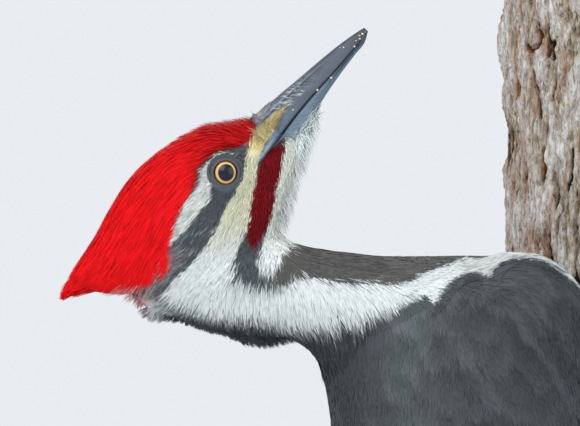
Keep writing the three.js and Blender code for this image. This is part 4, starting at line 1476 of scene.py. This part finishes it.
# Barbs are about 1 mm apart, coarser than real ones so that they show.
vanePlace = vaneNode("TexCoord", output="Object")
vaneStretch = vaneNode("Mapping", {"Vector": vanePlace, "Scale": (900, 900, 350)})
vaneGrain = vaneNode("TexNoise", {"Vector": vaneStretch, "Scale": 1.0, "Detail": 3.0})
vaneBump = vaneNode("Bump", {"Height": vaneGrain, "Strength": 0.35, "Distance": 0.0003})
vaneDye = vaneNode("Attribute", attribute_name="plumage")
dress(vaneMaterial, {"Base Color": vaneDye, "Roughness": 0.5, "Normal": vaneBump})
vanes = []


def addVane(side, root, tip, half, lift, tilt=0.0, **rest):
    tone = vaneShape["tone"] * rng.uniform(0.88, 1.12) * (1 + 0.02 * rng.normal(size=3))
    vanes.append(dict(side=side, root=root, tip=tip, half=half, lift=lift, tilt=tilt, tone=tone, **rest))


# A root or tip is a share across the wing, from back to front, and a height in the row.
wingLook = dict(primaries=9, secondaries=9, greater=11, median=13, tilt=-0.08)
for side in (-1, 1):
    for i in range(wingLook["primaries"]):  # the longest reach the wing's tip, in front and underneath
        t = i / (wingLook["primaries"] - 1)
        root, tip = (0.93 - 0.12 * t, 300 - 14 * t), (0.62 - 0.2 * t, 168 + 78 * t**1.2)
        addVane(side, root, tip, 5.2 + t, (0.2, 0.5 + 0.05 * i), tilt=-0.05)
    for i in range(wingLook["secondaries"]):
        t = i / (wingLook["secondaries"] - 1)
        root, tip = (0.8 - 0.72 * t, 296 + 4 * t), (0.55 - 0.42 * t, 218 - 14 * math.sin(t * 2.2))
        addVane(side, root, tip, 6.6, (0.7, 1.1 + 0.5 * t), wingLook["tilt"])
    for i in range(wingLook["greater"]):
        t = i / (wingLook["greater"] - 1)
        root, tip = (0.95 - 0.88 * t, 316), (0.93 - 0.86 * t, 277 + 3 * t)
        addVane(side, root, tip, 5.6, (1.2, 1.9), wingLook["tilt"])
    for i in range(wingLook["median"]):
        t = i / (wingLook["median"] - 1)
        root = (0.96 - 0.9 * t, 333 + 3 * math.sin(5 * t))
        tip = (0.95 - 0.88 * t, 303 + 2 * math.sin(9 * t))
        addVane(side, root, tip, 4.8, (-0.9, 2.2), wingLook["tilt"])
growVanes("wing_vanes", vanes, onWing)


# The tail: twelve stiff pointed feathers, the middle pair longest, propped on the bark.
# Rows: height, distance of the feathers' underside from the log's axis, thickness there.
tailRows = [(70, 88.2, 2), (89, 92.6, 3), (114, 98.5, 4), (146, 103, 5.5), (176, 108, 8), (212, 115, 12)]
tailLook = dict(pairs=6, steps=26, curl=0.012)


def onTail(side, grip):
    aside, height = grip.T[:, :, None]
    away, thick = through(tailRows, grip[:, 1]).T[:, :, None]
    places = dorsal * (away + thick / 2 - tailLook["curl"] * aside**2)
    places = places + side * leftWay * aside + upright * height
    run = unit(np.gradient(places, axis=0))
    sideways = np.tile(-leftWay, (len(places), 1))
    return places, unit(np.cross(sideways, run)), sideways


vanes = []
for i in reversed(range(tailLook["pairs"])):
    for side in (-1, 1):
        root, tip = (1.5 + 1.6 * i, 214), (2.6 + 4.3 * i, 70 + 2.2 * i + 2.1 * i**2)
        addVane(side, root, tip, 6.4 - 0.45 * i, (-1.5, -2.2 - 0.62 * i), pointed=6 - 0.5 * i, thick=1.4)
growVanes("tail_vanes", vanes, onTail, rows=tailLook["steps"])
print("wings and tail")


# Legs and feet: the CAD limbs made even, with rings of scutes across the toes.
footShape = dict(
    voxel=0.5, passes=5, claw=0.32, clawPasses=6, pitch=1.9, height=0.14, aside=27, ankle=262,
    tone="#5d6266",
)
# Small plates about 1 mm across break up the light.
scaleMaterial, scaleNode = newMaterial("leg scales, dry and slightly dusty")
scaleCells = scaleNode("TexVoronoi", {"Vector": scaleNode("TexCoord", output="Object"), "Scale": 900.0})
scaleBump = scaleNode("Bump", {"Height": scaleCells, "Strength": 0.5, "Distance": 0.0003})
scaleDye = scaleNode("Attribute", attribute_name="plumage")
dress(scaleMaterial, {"Base Color": scaleDye, "Roughness": 0.6, "Normal": scaleBump})
# Use polishes a claw, so it shines more than the bill. Its tones drift over about 2 mm.
clawMaterial, clawNode = newMaterial("claw horn, dark and smooth from climbing")
clawPlace = clawNode("TexCoord", output="Object")
clawGrain = clawNode("TexNoise", {"Vector": clawPlace, "Scale": 500.0, "Detail": 4.0})
clawTones = [(0.3, colour("#2b2d30")), (0.75, colour("#4d5054"))]
clawColour = clawNode("ValToRGB", {"Fac": clawGrain}, stops=clawTones)
dress(clawMaterial, {"Base Color": clawColour, "Roughness": 0.32, "IOR": 1.54})
thighCoat = dict(
    length=6, width=0.8, lift=0.9, joints=2, vary=0.08, stray=0.2, roll=0.3, shade=0.75, spacing=0.8,
    fromAnkle=22,
)
logShape = dict(
    radius=85, bottom=50, top=512, furrow=4.6, cut=9, crack=3.6,
    arc=1.48,  # millimetres to a degree round it
    fine=384,  # its rings stand closer above this height
    feet=(268, 34), tail=(78, 14), facing=0.75,  # where the bird touches it
)

for name, side in sides:
    turn = birdYaw + math.pi - side * math.radians(footShape["aside"])
    ankle = logShape["radius"] * np.array([math.cos(turn), math.sin(turn), 0])
    ankle = ankle + upright * footShape["ankle"]
    for part in ("leg", "foot"):
        mesh = remeshed(joinedCopy([f"{part}_{name}"]), footShape["voxel"], footShape["passes"])
        places = pointsOf(mesh)
        ring = (np.linalg.norm(places - ankle, axis=1) / footShape["pitch"]) % 1
        scute = np.sqrt(1 - (np.abs(ring - 0.5) * 2) ** 2)
        places += normalsOf(mesh) * (footShape["height"] * (scute - 0.6))[:, None]
        movePoints(mesh, places)
        # Painted shade: darker in the grooves between scutes and paler on their crowns.
        tone = linear(footShape["tone"]) * (0.75 + 0.35 * scute + 0.1 * ripple(places, 4, 31))[:, None]
        setColours(mesh, np.clip(tone, 0, 1))
        addPiece(f"{part}_{name}_scales", mesh, scaleMaterial, [f"{part}_{name}"])
        if part == "leg":
            legSurface = surfaceOf(mesh)
            roots, out = sow(
                thighCoat["spacing"],
                lambda p: np.linalg.norm(p - ankle, axis=1) > thighCoat["fromAnkle"], legSurface,
            )
            growTufts(
                f"coat_thigh_{name}", "body", roots, out, thighCoat,
                way=alongSkin(unit(ankle - roots), out), surface=legSurface,
            )
    for toe in ("inner", "middle", "outer", "hind"):
        claw = f"claw_{name}_{toe}"
        mesh = remeshed(joinedCopy([claw]), footShape["claw"], footShape["clawPasses"])
        addPiece(f"{claw}_horn", mesh, clawMaterial, [claw])
print("legs and feet")


# The log: ridged bark over long wandering furrows, with a rim and end grain at both cuts.
# Cracks in the bark beside the bird. Rows: degrees round the log, height, half width.
cracks = [
    [
        (-150.6, 497, 0.5), (-150.1, 487, 0.6), (-149.7, 482.2, 0.9), (-149.2, 479.2, 1.6),
        (-149.7, 476.2, 1.2), (-152.1, 474, 0.6), (-152.1, 467, 0.7), (-151.3, 463, 1.1),
        (-150.6, 460, 0.7), (-149.2, 457, 1.2), (-149.2, 452.4, 1.2), (-149.4, 448.7, 0.3),
    ],
    [(-147.9, 437.5, 0.4), (-147.4, 433.8, 0.9), (-146.6, 430, 1), (-147.4, 426.7, 1.1), (-148.3, 424, 0.4)],
    [(-145.7, 482, 0.5), (-145.3, 476.8, 1), (-145.7, 471.6, 0.6)],
    [(-143.3, 476.7, 0.6), (-143.7, 473.8, 0.9), (-143.5, 470.8, 0.3)],
    [(-141.4, 422.6, 0.3), (-141.2, 419.6, 0.7), (-141.7, 416.6, 0.6), (-142.5, 415.2, 0.2)],
    [(-136, 436.6, 0.4), (-136.3, 431, 0.8), (-136.7, 425.5, 0.8), (-137.7, 421.8, 0.3)],
    [(-144.9, 406.2, 0.3), (-144.9, 401.4, 0.8), (-144.9, 394, 0.6)],
    [(-159.4, 497, 0.9), (-158.7, 489.3, 0.8), (-157.8, 485.9, 0.4)],
    [(-156.3, 475.8, 0.5), (-154.1, 474.2, 0.7), (-151.6, 472.6, 0.5)],
    [(-155.8, 430.9, 0.6), (-155.2, 427.9, 0.9), (-156.9, 424.9, 0.5)],
]
# How far the bark's edge away from the bird is worn back, by height.
logEdge = [
    (380, 5), (398.5, 6.6), (400.8, 5.9), (403.8, 4.8), (408.4, 4.2), (416.3, 4.4), (419.8, 4.8),
    (423.2, 3.2), (427.7, 2.5), (430.8, 2.4), (435, 4.4), (438.4, 5.5), (443.7, 5.1), (448.7, 4),
    (452.5, 2.9), (456.3, 2.4), (460.1, 2.5), (463.5, 3.2), (466.1, 2.4), (470.3, 1.3),
    (475.3, 0.3), (479.8, 0.1), (485.2, 1.3), (489.7, 2.5), (494.3, 3.2), (512, 3),
]


def furrows(places, size, narrow, seed):  # thin lines where slow noise changes sign
    return np.exp(-((ripple(places, size, seed, 16) / narrow) ** 2))


def crackedBark(turn, height):  # how near each place is to a crack's middle, from 0 to 1
    arc = logShape["arc"]
    unrolled = np.stack([np.degrees(turn) * arc, height], 1)
    rows = [[(a * arc, z, half) for a, z, half in crack] for crack in cracks]
    return np.max([ease(-0.7, 0.5, inStripe(unrolled, crack)) for crack in rows], axis=0)


def barkDepth(turn, height):  # how far the bark lies under the log's full radius
    degrees = np.degrees(turn)
    around = np.stack([np.cos(turn) * logShape["radius"], np.sin(turn) * logShape["radius"], height], 1)
    wander = np.stack([ripple(around * [1, 1, 0.5], 16, seed, 9) for seed in (41, 42, 43)], 1)
    around = around + wander * 1.6

    def drawnOut(size, seed, waves, share):  # noise drawn out up the log, more so for a smaller share
        return ripple(around * [1, 1, share], size, seed, waves)

    seen = ease(380, 395, height) * ease(-192, -186, degrees) * ease(-118, -128, degrees)
    main = furrows(around * [1, 1, 0.2], 30, 0.13, 44) * (1 - seen)
    main = main * ease(-0.5, 0.2, drawnOut(60, 45, 9, 0.45))
    minor = furrows(around * [1, 1, 0.3], 13, 0.14, 46) * (1 - 0.5 * seen)
    minor = minor * ease(-0.3, 0.4, drawnOut(35, 47, 9, 0.45))
    layers = 2.2 * drawnOut(13, 48, 16, 0.45) + 0.9 * drawnOut(4.4, 49, 16, 0.4)
    flakes = np.floor(layers) + ease(0.6, 1, layers % 1)
    fibre = 0.45 * drawnOut(3.4, 50, 16, 0.2) + 0.4 * drawnOut(2.4, 51, 16, 0.5)
    fibre = fibre + seen * (0.4 * drawnOut(1.9, 53, 24, 0.45) + 0.3 * drawnOut(3.2, 54, 24, 1))
    swell = 0.9 * drawnOut(44, 52, 9, 0.4) * (1 - seen)
    depth = 2.4 + swell - 0.62 * flakes + fibre + logShape["furrow"] * main + 2.0 * minor
    atEdge = seen * ease(-170, -178, degrees)
    ragged = np.interp(height, *np.array(logEdge).T) - 1 + 0.9 * drawnOut(2.6, 56, 24, 1)
    depth = depth * (1 - 0.6 * atEdge) + atEdge * ragged
    return np.maximum(depth + logShape["crack"] * crackedBark(turn, height), 0.05)


def logRings():
    # Rows stand closer on the side towards the bird's head.
    finer, coarser = np.arange(-192, -118, 0.5), np.linspace(-118, 168, 166, endpoint=False)
    turns = np.radians(np.concatenate([finer, coarser]))
    coarser = np.arange(logShape["bottom"], logShape["fine"], 2.8)
    finer = np.linspace(logShape["fine"], logShape["top"], 125)
    turn, height = np.meshgrid(turns, np.concatenate([coarser, finer]))
    degrees, flatTurn, flatHeight = np.degrees(turn), turn.ravel(), height.ravel()
    depth = barkDepth(flatTurn, flatHeight).reshape(turn.shape)
    # Under the feet and the tail's tip the bark comes up to the log's full size.
    facing = np.exp(-((np.abs(turn - birdYaw + math.pi) / logShape["facing"]) ** 4))
    grips = (logShape["feet"], logShape["tail"])
    gripped = sum(np.exp(-(((height - middle) / half) ** 4)) for middle, half in grips)
    depth = depth * (1 - 0.85 * np.clip(gripped * facing, 0, 1))
    radius = logShape["radius"] - depth
    side = np.stack([radius * np.cos(turn), radius * np.sin(turn), height], -1)
    split = 1.6 * line(1.9, 0.03, turns) + 1.2 * line(-0.4, 0.025, turns)
    caps = []
    for row, level, inward in ((0, logShape["bottom"], 1), (-1, logShape["top"], -1)):
        rings = []
        for share in (0.004, 0.1, 0.2, 0.3, 0.4, 0.5, 0.6, 0.7, 0.8, 0.88, 0.94, 0.98):
            ring = side[row] * [share, share, 1]
            saw = 0.2 * np.sin(ring[:, 0] / 2.3 + 0.4 * np.sin(ring[:, 1] / 17))
            dip = 0.3 + (saw + split * ease(0.1, 0.5, share)) * ease(0.1, 0.3, share)
            ring[:, 2] = level + inward * dip
            rings.append(ring)
        caps.append(rings)
    # Away from the bird's head the bark's tone follows its depth less, so it is greyer and more even there,
    # with less painted shade in its furrows.
    beside = ease(340, 392, height) * ease(72, 36, np.abs((degrees + 335) % 360 - 180))
    weathered = mixed(np.clip(3.1 + 0.7 * (depth - 2.4), 2.3, 8.3), depth, beside)
    rusty = 0.9 * ease(0.05, 0.6, ripple(side.reshape(-1, 3) * [1, 1, 0.25], 14, 55, 12))
    rusty = (rusty + 0.9 * crackedBark(flatTurn + 0.03, flatHeight)).reshape(turn.shape)
    rusty = rusty + 0.25 * ease(-141, -152, degrees) * ease(-190, -178, degrees)
    rusty = np.clip(rusty, 0, 1) * (0.55 + 0.45 * beside)
    flat = np.full((len(caps[0]), len(turns)), float(logShape["cut"]))
    return (
        np.concatenate([caps[0], side, caps[1][::-1]]), np.concatenate([flat, weathered, flat]),
        np.concatenate([flat * 0, rusty, flat * 0]),
    )


rings, sunk, rusty = logRings()
logMesh = tube("log_bark", rings)
setAmounts(logMesh, "sunk", sunk)
setAmounts(logMesh, "rusty", rusty)
# Dry bark has no shine: ashy on its ridges and red-brown in its cracks, where painted shade takes it to
# nearly black.
barkMaterial, barkNode = newMaterial("weathered bark, grey ridges over red-brown furrows")
barkPlace = barkNode("TexCoord", output="Object")
barkSunk = barkNode("Attribute", output="Fac", attribute_name="sunk")
barkRusty = barkNode("Attribute", output="Fac", attribute_name="rusty")
# Fibres are about 1.5 mm wide and flakes 4 mm, both drawn out up the log.
barkStretch = barkNode("Mapping", {"Vector": barkPlace, "Scale": (1, 1, 0.36)})
barkFibre = barkNode(
    "TexNoise", {"Vector": barkStretch, "Scale": 680.0, "Detail": 8.0, "Roughness": 0.76, "Distortion": 0.6}
)
barkShort = barkNode("Mapping", {"Vector": barkPlace, "Scale": (1, 1, 0.5)})
barkFlake = barkNode("TexNoise", {"Vector": barkShort, "Scale": 230.0, "Detail": 7.0, "Roughness": 0.75})
barkLevel = barkNode("MapRange", {"Value": barkSunk, "From Min": 0.5, "From Max": 8.0})
barkMixed = barkNode("Math", {0: barkFlake, 1: 0.9, 2: barkLevel}, operation="MULTIPLY_ADD")
barkTone = barkNode("ValToRGB", {"Fac": barkMixed}, stops=[
    (0.52, colour("#f2f1ef")), (0.67, colour("#dcd8d3")), (0.8, colour("#c2b8a8")),
    (0.91, colour("#927f69")), (0.975, colour("#46372e")), (1.0, colour("#231a15")),
])
rustShare = barkNode("Math", {0: barkFlake, 1: barkRusty}, operation="MULTIPLY")
barkRust = barkNode("Mix", {0: rustShare, 6: barkTone, 7: colour("#a0602a")}, output=2, data_type="RGBA")
barkStreak = barkNode("ValToRGB", {"Fac": barkFibre}, stops=[
    (0.35, (0.12, 0.09, 0.08, 1)), (0.43, (0.68, 0.63, 0.59, 1)), (0.51, (1.16, 1.15, 1.14, 1)),
    (0.64, (1.6, 1.62, 1.62, 1)),
])
barkColour = barkNode(
    "Mix", {0: 0.9, 6: barkRust, 7: barkStreak}, output=2, data_type="RGBA", blend_type="MULTIPLY"
)
barkRelief = barkNode("Math", {0: barkFlake, 1: 0.8, 2: barkFibre}, operation="MULTIPLY_ADD")
barkBump = barkNode("Bump", {"Height": barkRelief, "Strength": 1.0, "Distance": 0.0022})
# The cut ends show yearly rings in pale wood, about 2.4 mm apart.
endWaver = barkNode("TexNoise", {"Vector": barkPlace, "Scale": 40.0, "Detail": 4.0})
endFlat = barkNode("VectorMath", {0: barkPlace, 1: (1, 1, 0)}, operation="MULTIPLY")
endReach = barkNode("VectorMath", {0: endFlat}, output="Value", operation="LENGTH")
endMoved = barkNode("Math", {0: endWaver, 1: 0.004, 2: endReach}, operation="MULTIPLY_ADD")
endTurns = barkNode("Math", {0: endMoved, 1: 2600.0}, operation="MULTIPLY")
endSine = barkNode("Math", {0: endTurns}, operation="SINE")
endBand = barkNode("MapRange", {"Value": endSine, "From Min": -1.0, "From Max": 1.0})
endTone = barkNode("ValToRGB", {"Fac": endBand}, stops=[
    (0.0, colour("#8f7250")), (0.4, colour("#b4966e")), (1.0, colour("#c2a67e")),
])
endShare = barkNode("MapRange", {"Value": barkSunk, "From Min": 8.6, "From Max": 8.9})
barkOrEnd = barkNode("Mix", {0: endShare, 6: barkColour, 7: endTone}, output=2, data_type="RGBA")
dress(barkMaterial, {
    "Base Color": barkOrEnd, "Roughness": 0.92, "Specular IOR Level": 0.2, "Normal": barkBump,
})
addPiece("log_bark", logMesh, barkMaterial, ["perch_log"])
print("log", len(logMesh.polygons))


# The stand: a turned wooden base and two steel rods.
baseShape = dict(
    profile=[
        (0, 0), (126, 0), (127.4, 0.4), (128, 1.4), (128, 13.4), (127, 15.9), (124.8, 17.4),
        (122, 18), (0, 18),
    ],
    steps=160, bevel=0.3,
)
build = turned(baseShape["profile"], (0, 0, 1), baseShape["steps"])
bmesh.ops.remove_doubles(build, verts=build.verts, dist=0.00001)
bmesh.ops.recalc_face_normals(build, faces=build.faces)
bevelled(build, 0.3, baseShape["bevel"])
# Oiled walnut has a soft sheen. Its grain is about 14 mm wide and 170 mm long.
baseMaterial, baseNode = newMaterial("turned walnut, oiled to a satin finish")
basePlace = baseNode("TexCoord", output="Object")
baseStretch = baseNode("Mapping", {"Vector": basePlace, "Scale": (6, 70, 70)})
baseGrain = baseNode(
    "TexNoise", {"Vector": baseStretch, "Scale": 1.0, "Detail": 8.0, "Roughness": 0.6, "Distortion": 0.6}
)
baseColour = baseNode("ValToRGB", {"Fac": baseGrain}, stops=[
    (0.3, colour("#3a2618")), (0.5, colour("#5a3d28")), (0.62, colour("#6d4b32")),
    (0.75, colour("#4a3020")),
])
baseBump = baseNode("Bump", {"Height": baseGrain, "Strength": 0.15, "Distance": 0.0003})
dress(baseMaterial, {"Base Color": baseColour, "Roughness": 0.42, "Normal": baseBump})
addPiece("base_turned", meshFrom(build, "base_turned"), baseMaterial, ["stand_base"])

rodShape = dict(segments=64, bevel=0.4)
# Grinding leaves rings about 0.25 mm apart, which vary the blur of what the steel reflects.
steelMaterial, steelNode = newMaterial("ground steel rod, fine turning marks")
steelPlace = steelNode("TexCoord", output="Object")
steelStretch = steelNode("Mapping", {"Vector": steelPlace, "Scale": (40, 40, 4000)})
steelGrain = steelNode("TexNoise", {"Vector": steelStretch, "Scale": 1.0, "Detail": 2.0})
steelRough = steelNode("MapRange", {"Value": steelGrain, "To Min": 0.26, "To Max": 0.42})
dress(steelMaterial, {"Base Color": colour("#b9bcbf"), "Metallic": 1.0, "Roughness": steelRough})
for name in ("stand_rod_bird_side", "stand_rod_far_side"):
    low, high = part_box(name)
    radius = (high.x - low.x) / 2
    build = bmesh.new()
    bmesh.ops.create_cone(
        build, cap_ends=True, segments=rodShape["segments"], radius1=radius, radius2=radius,
        depth=high.z - low.z, matrix=Matrix.Translation((low + high) / 2),
    )
    bevelled(build, 1, rodShape["bevel"])
    addPiece(f"{name}_ground", meshFrom(build, f"{name}_ground"), steelMaterial, [name])
print("stand")
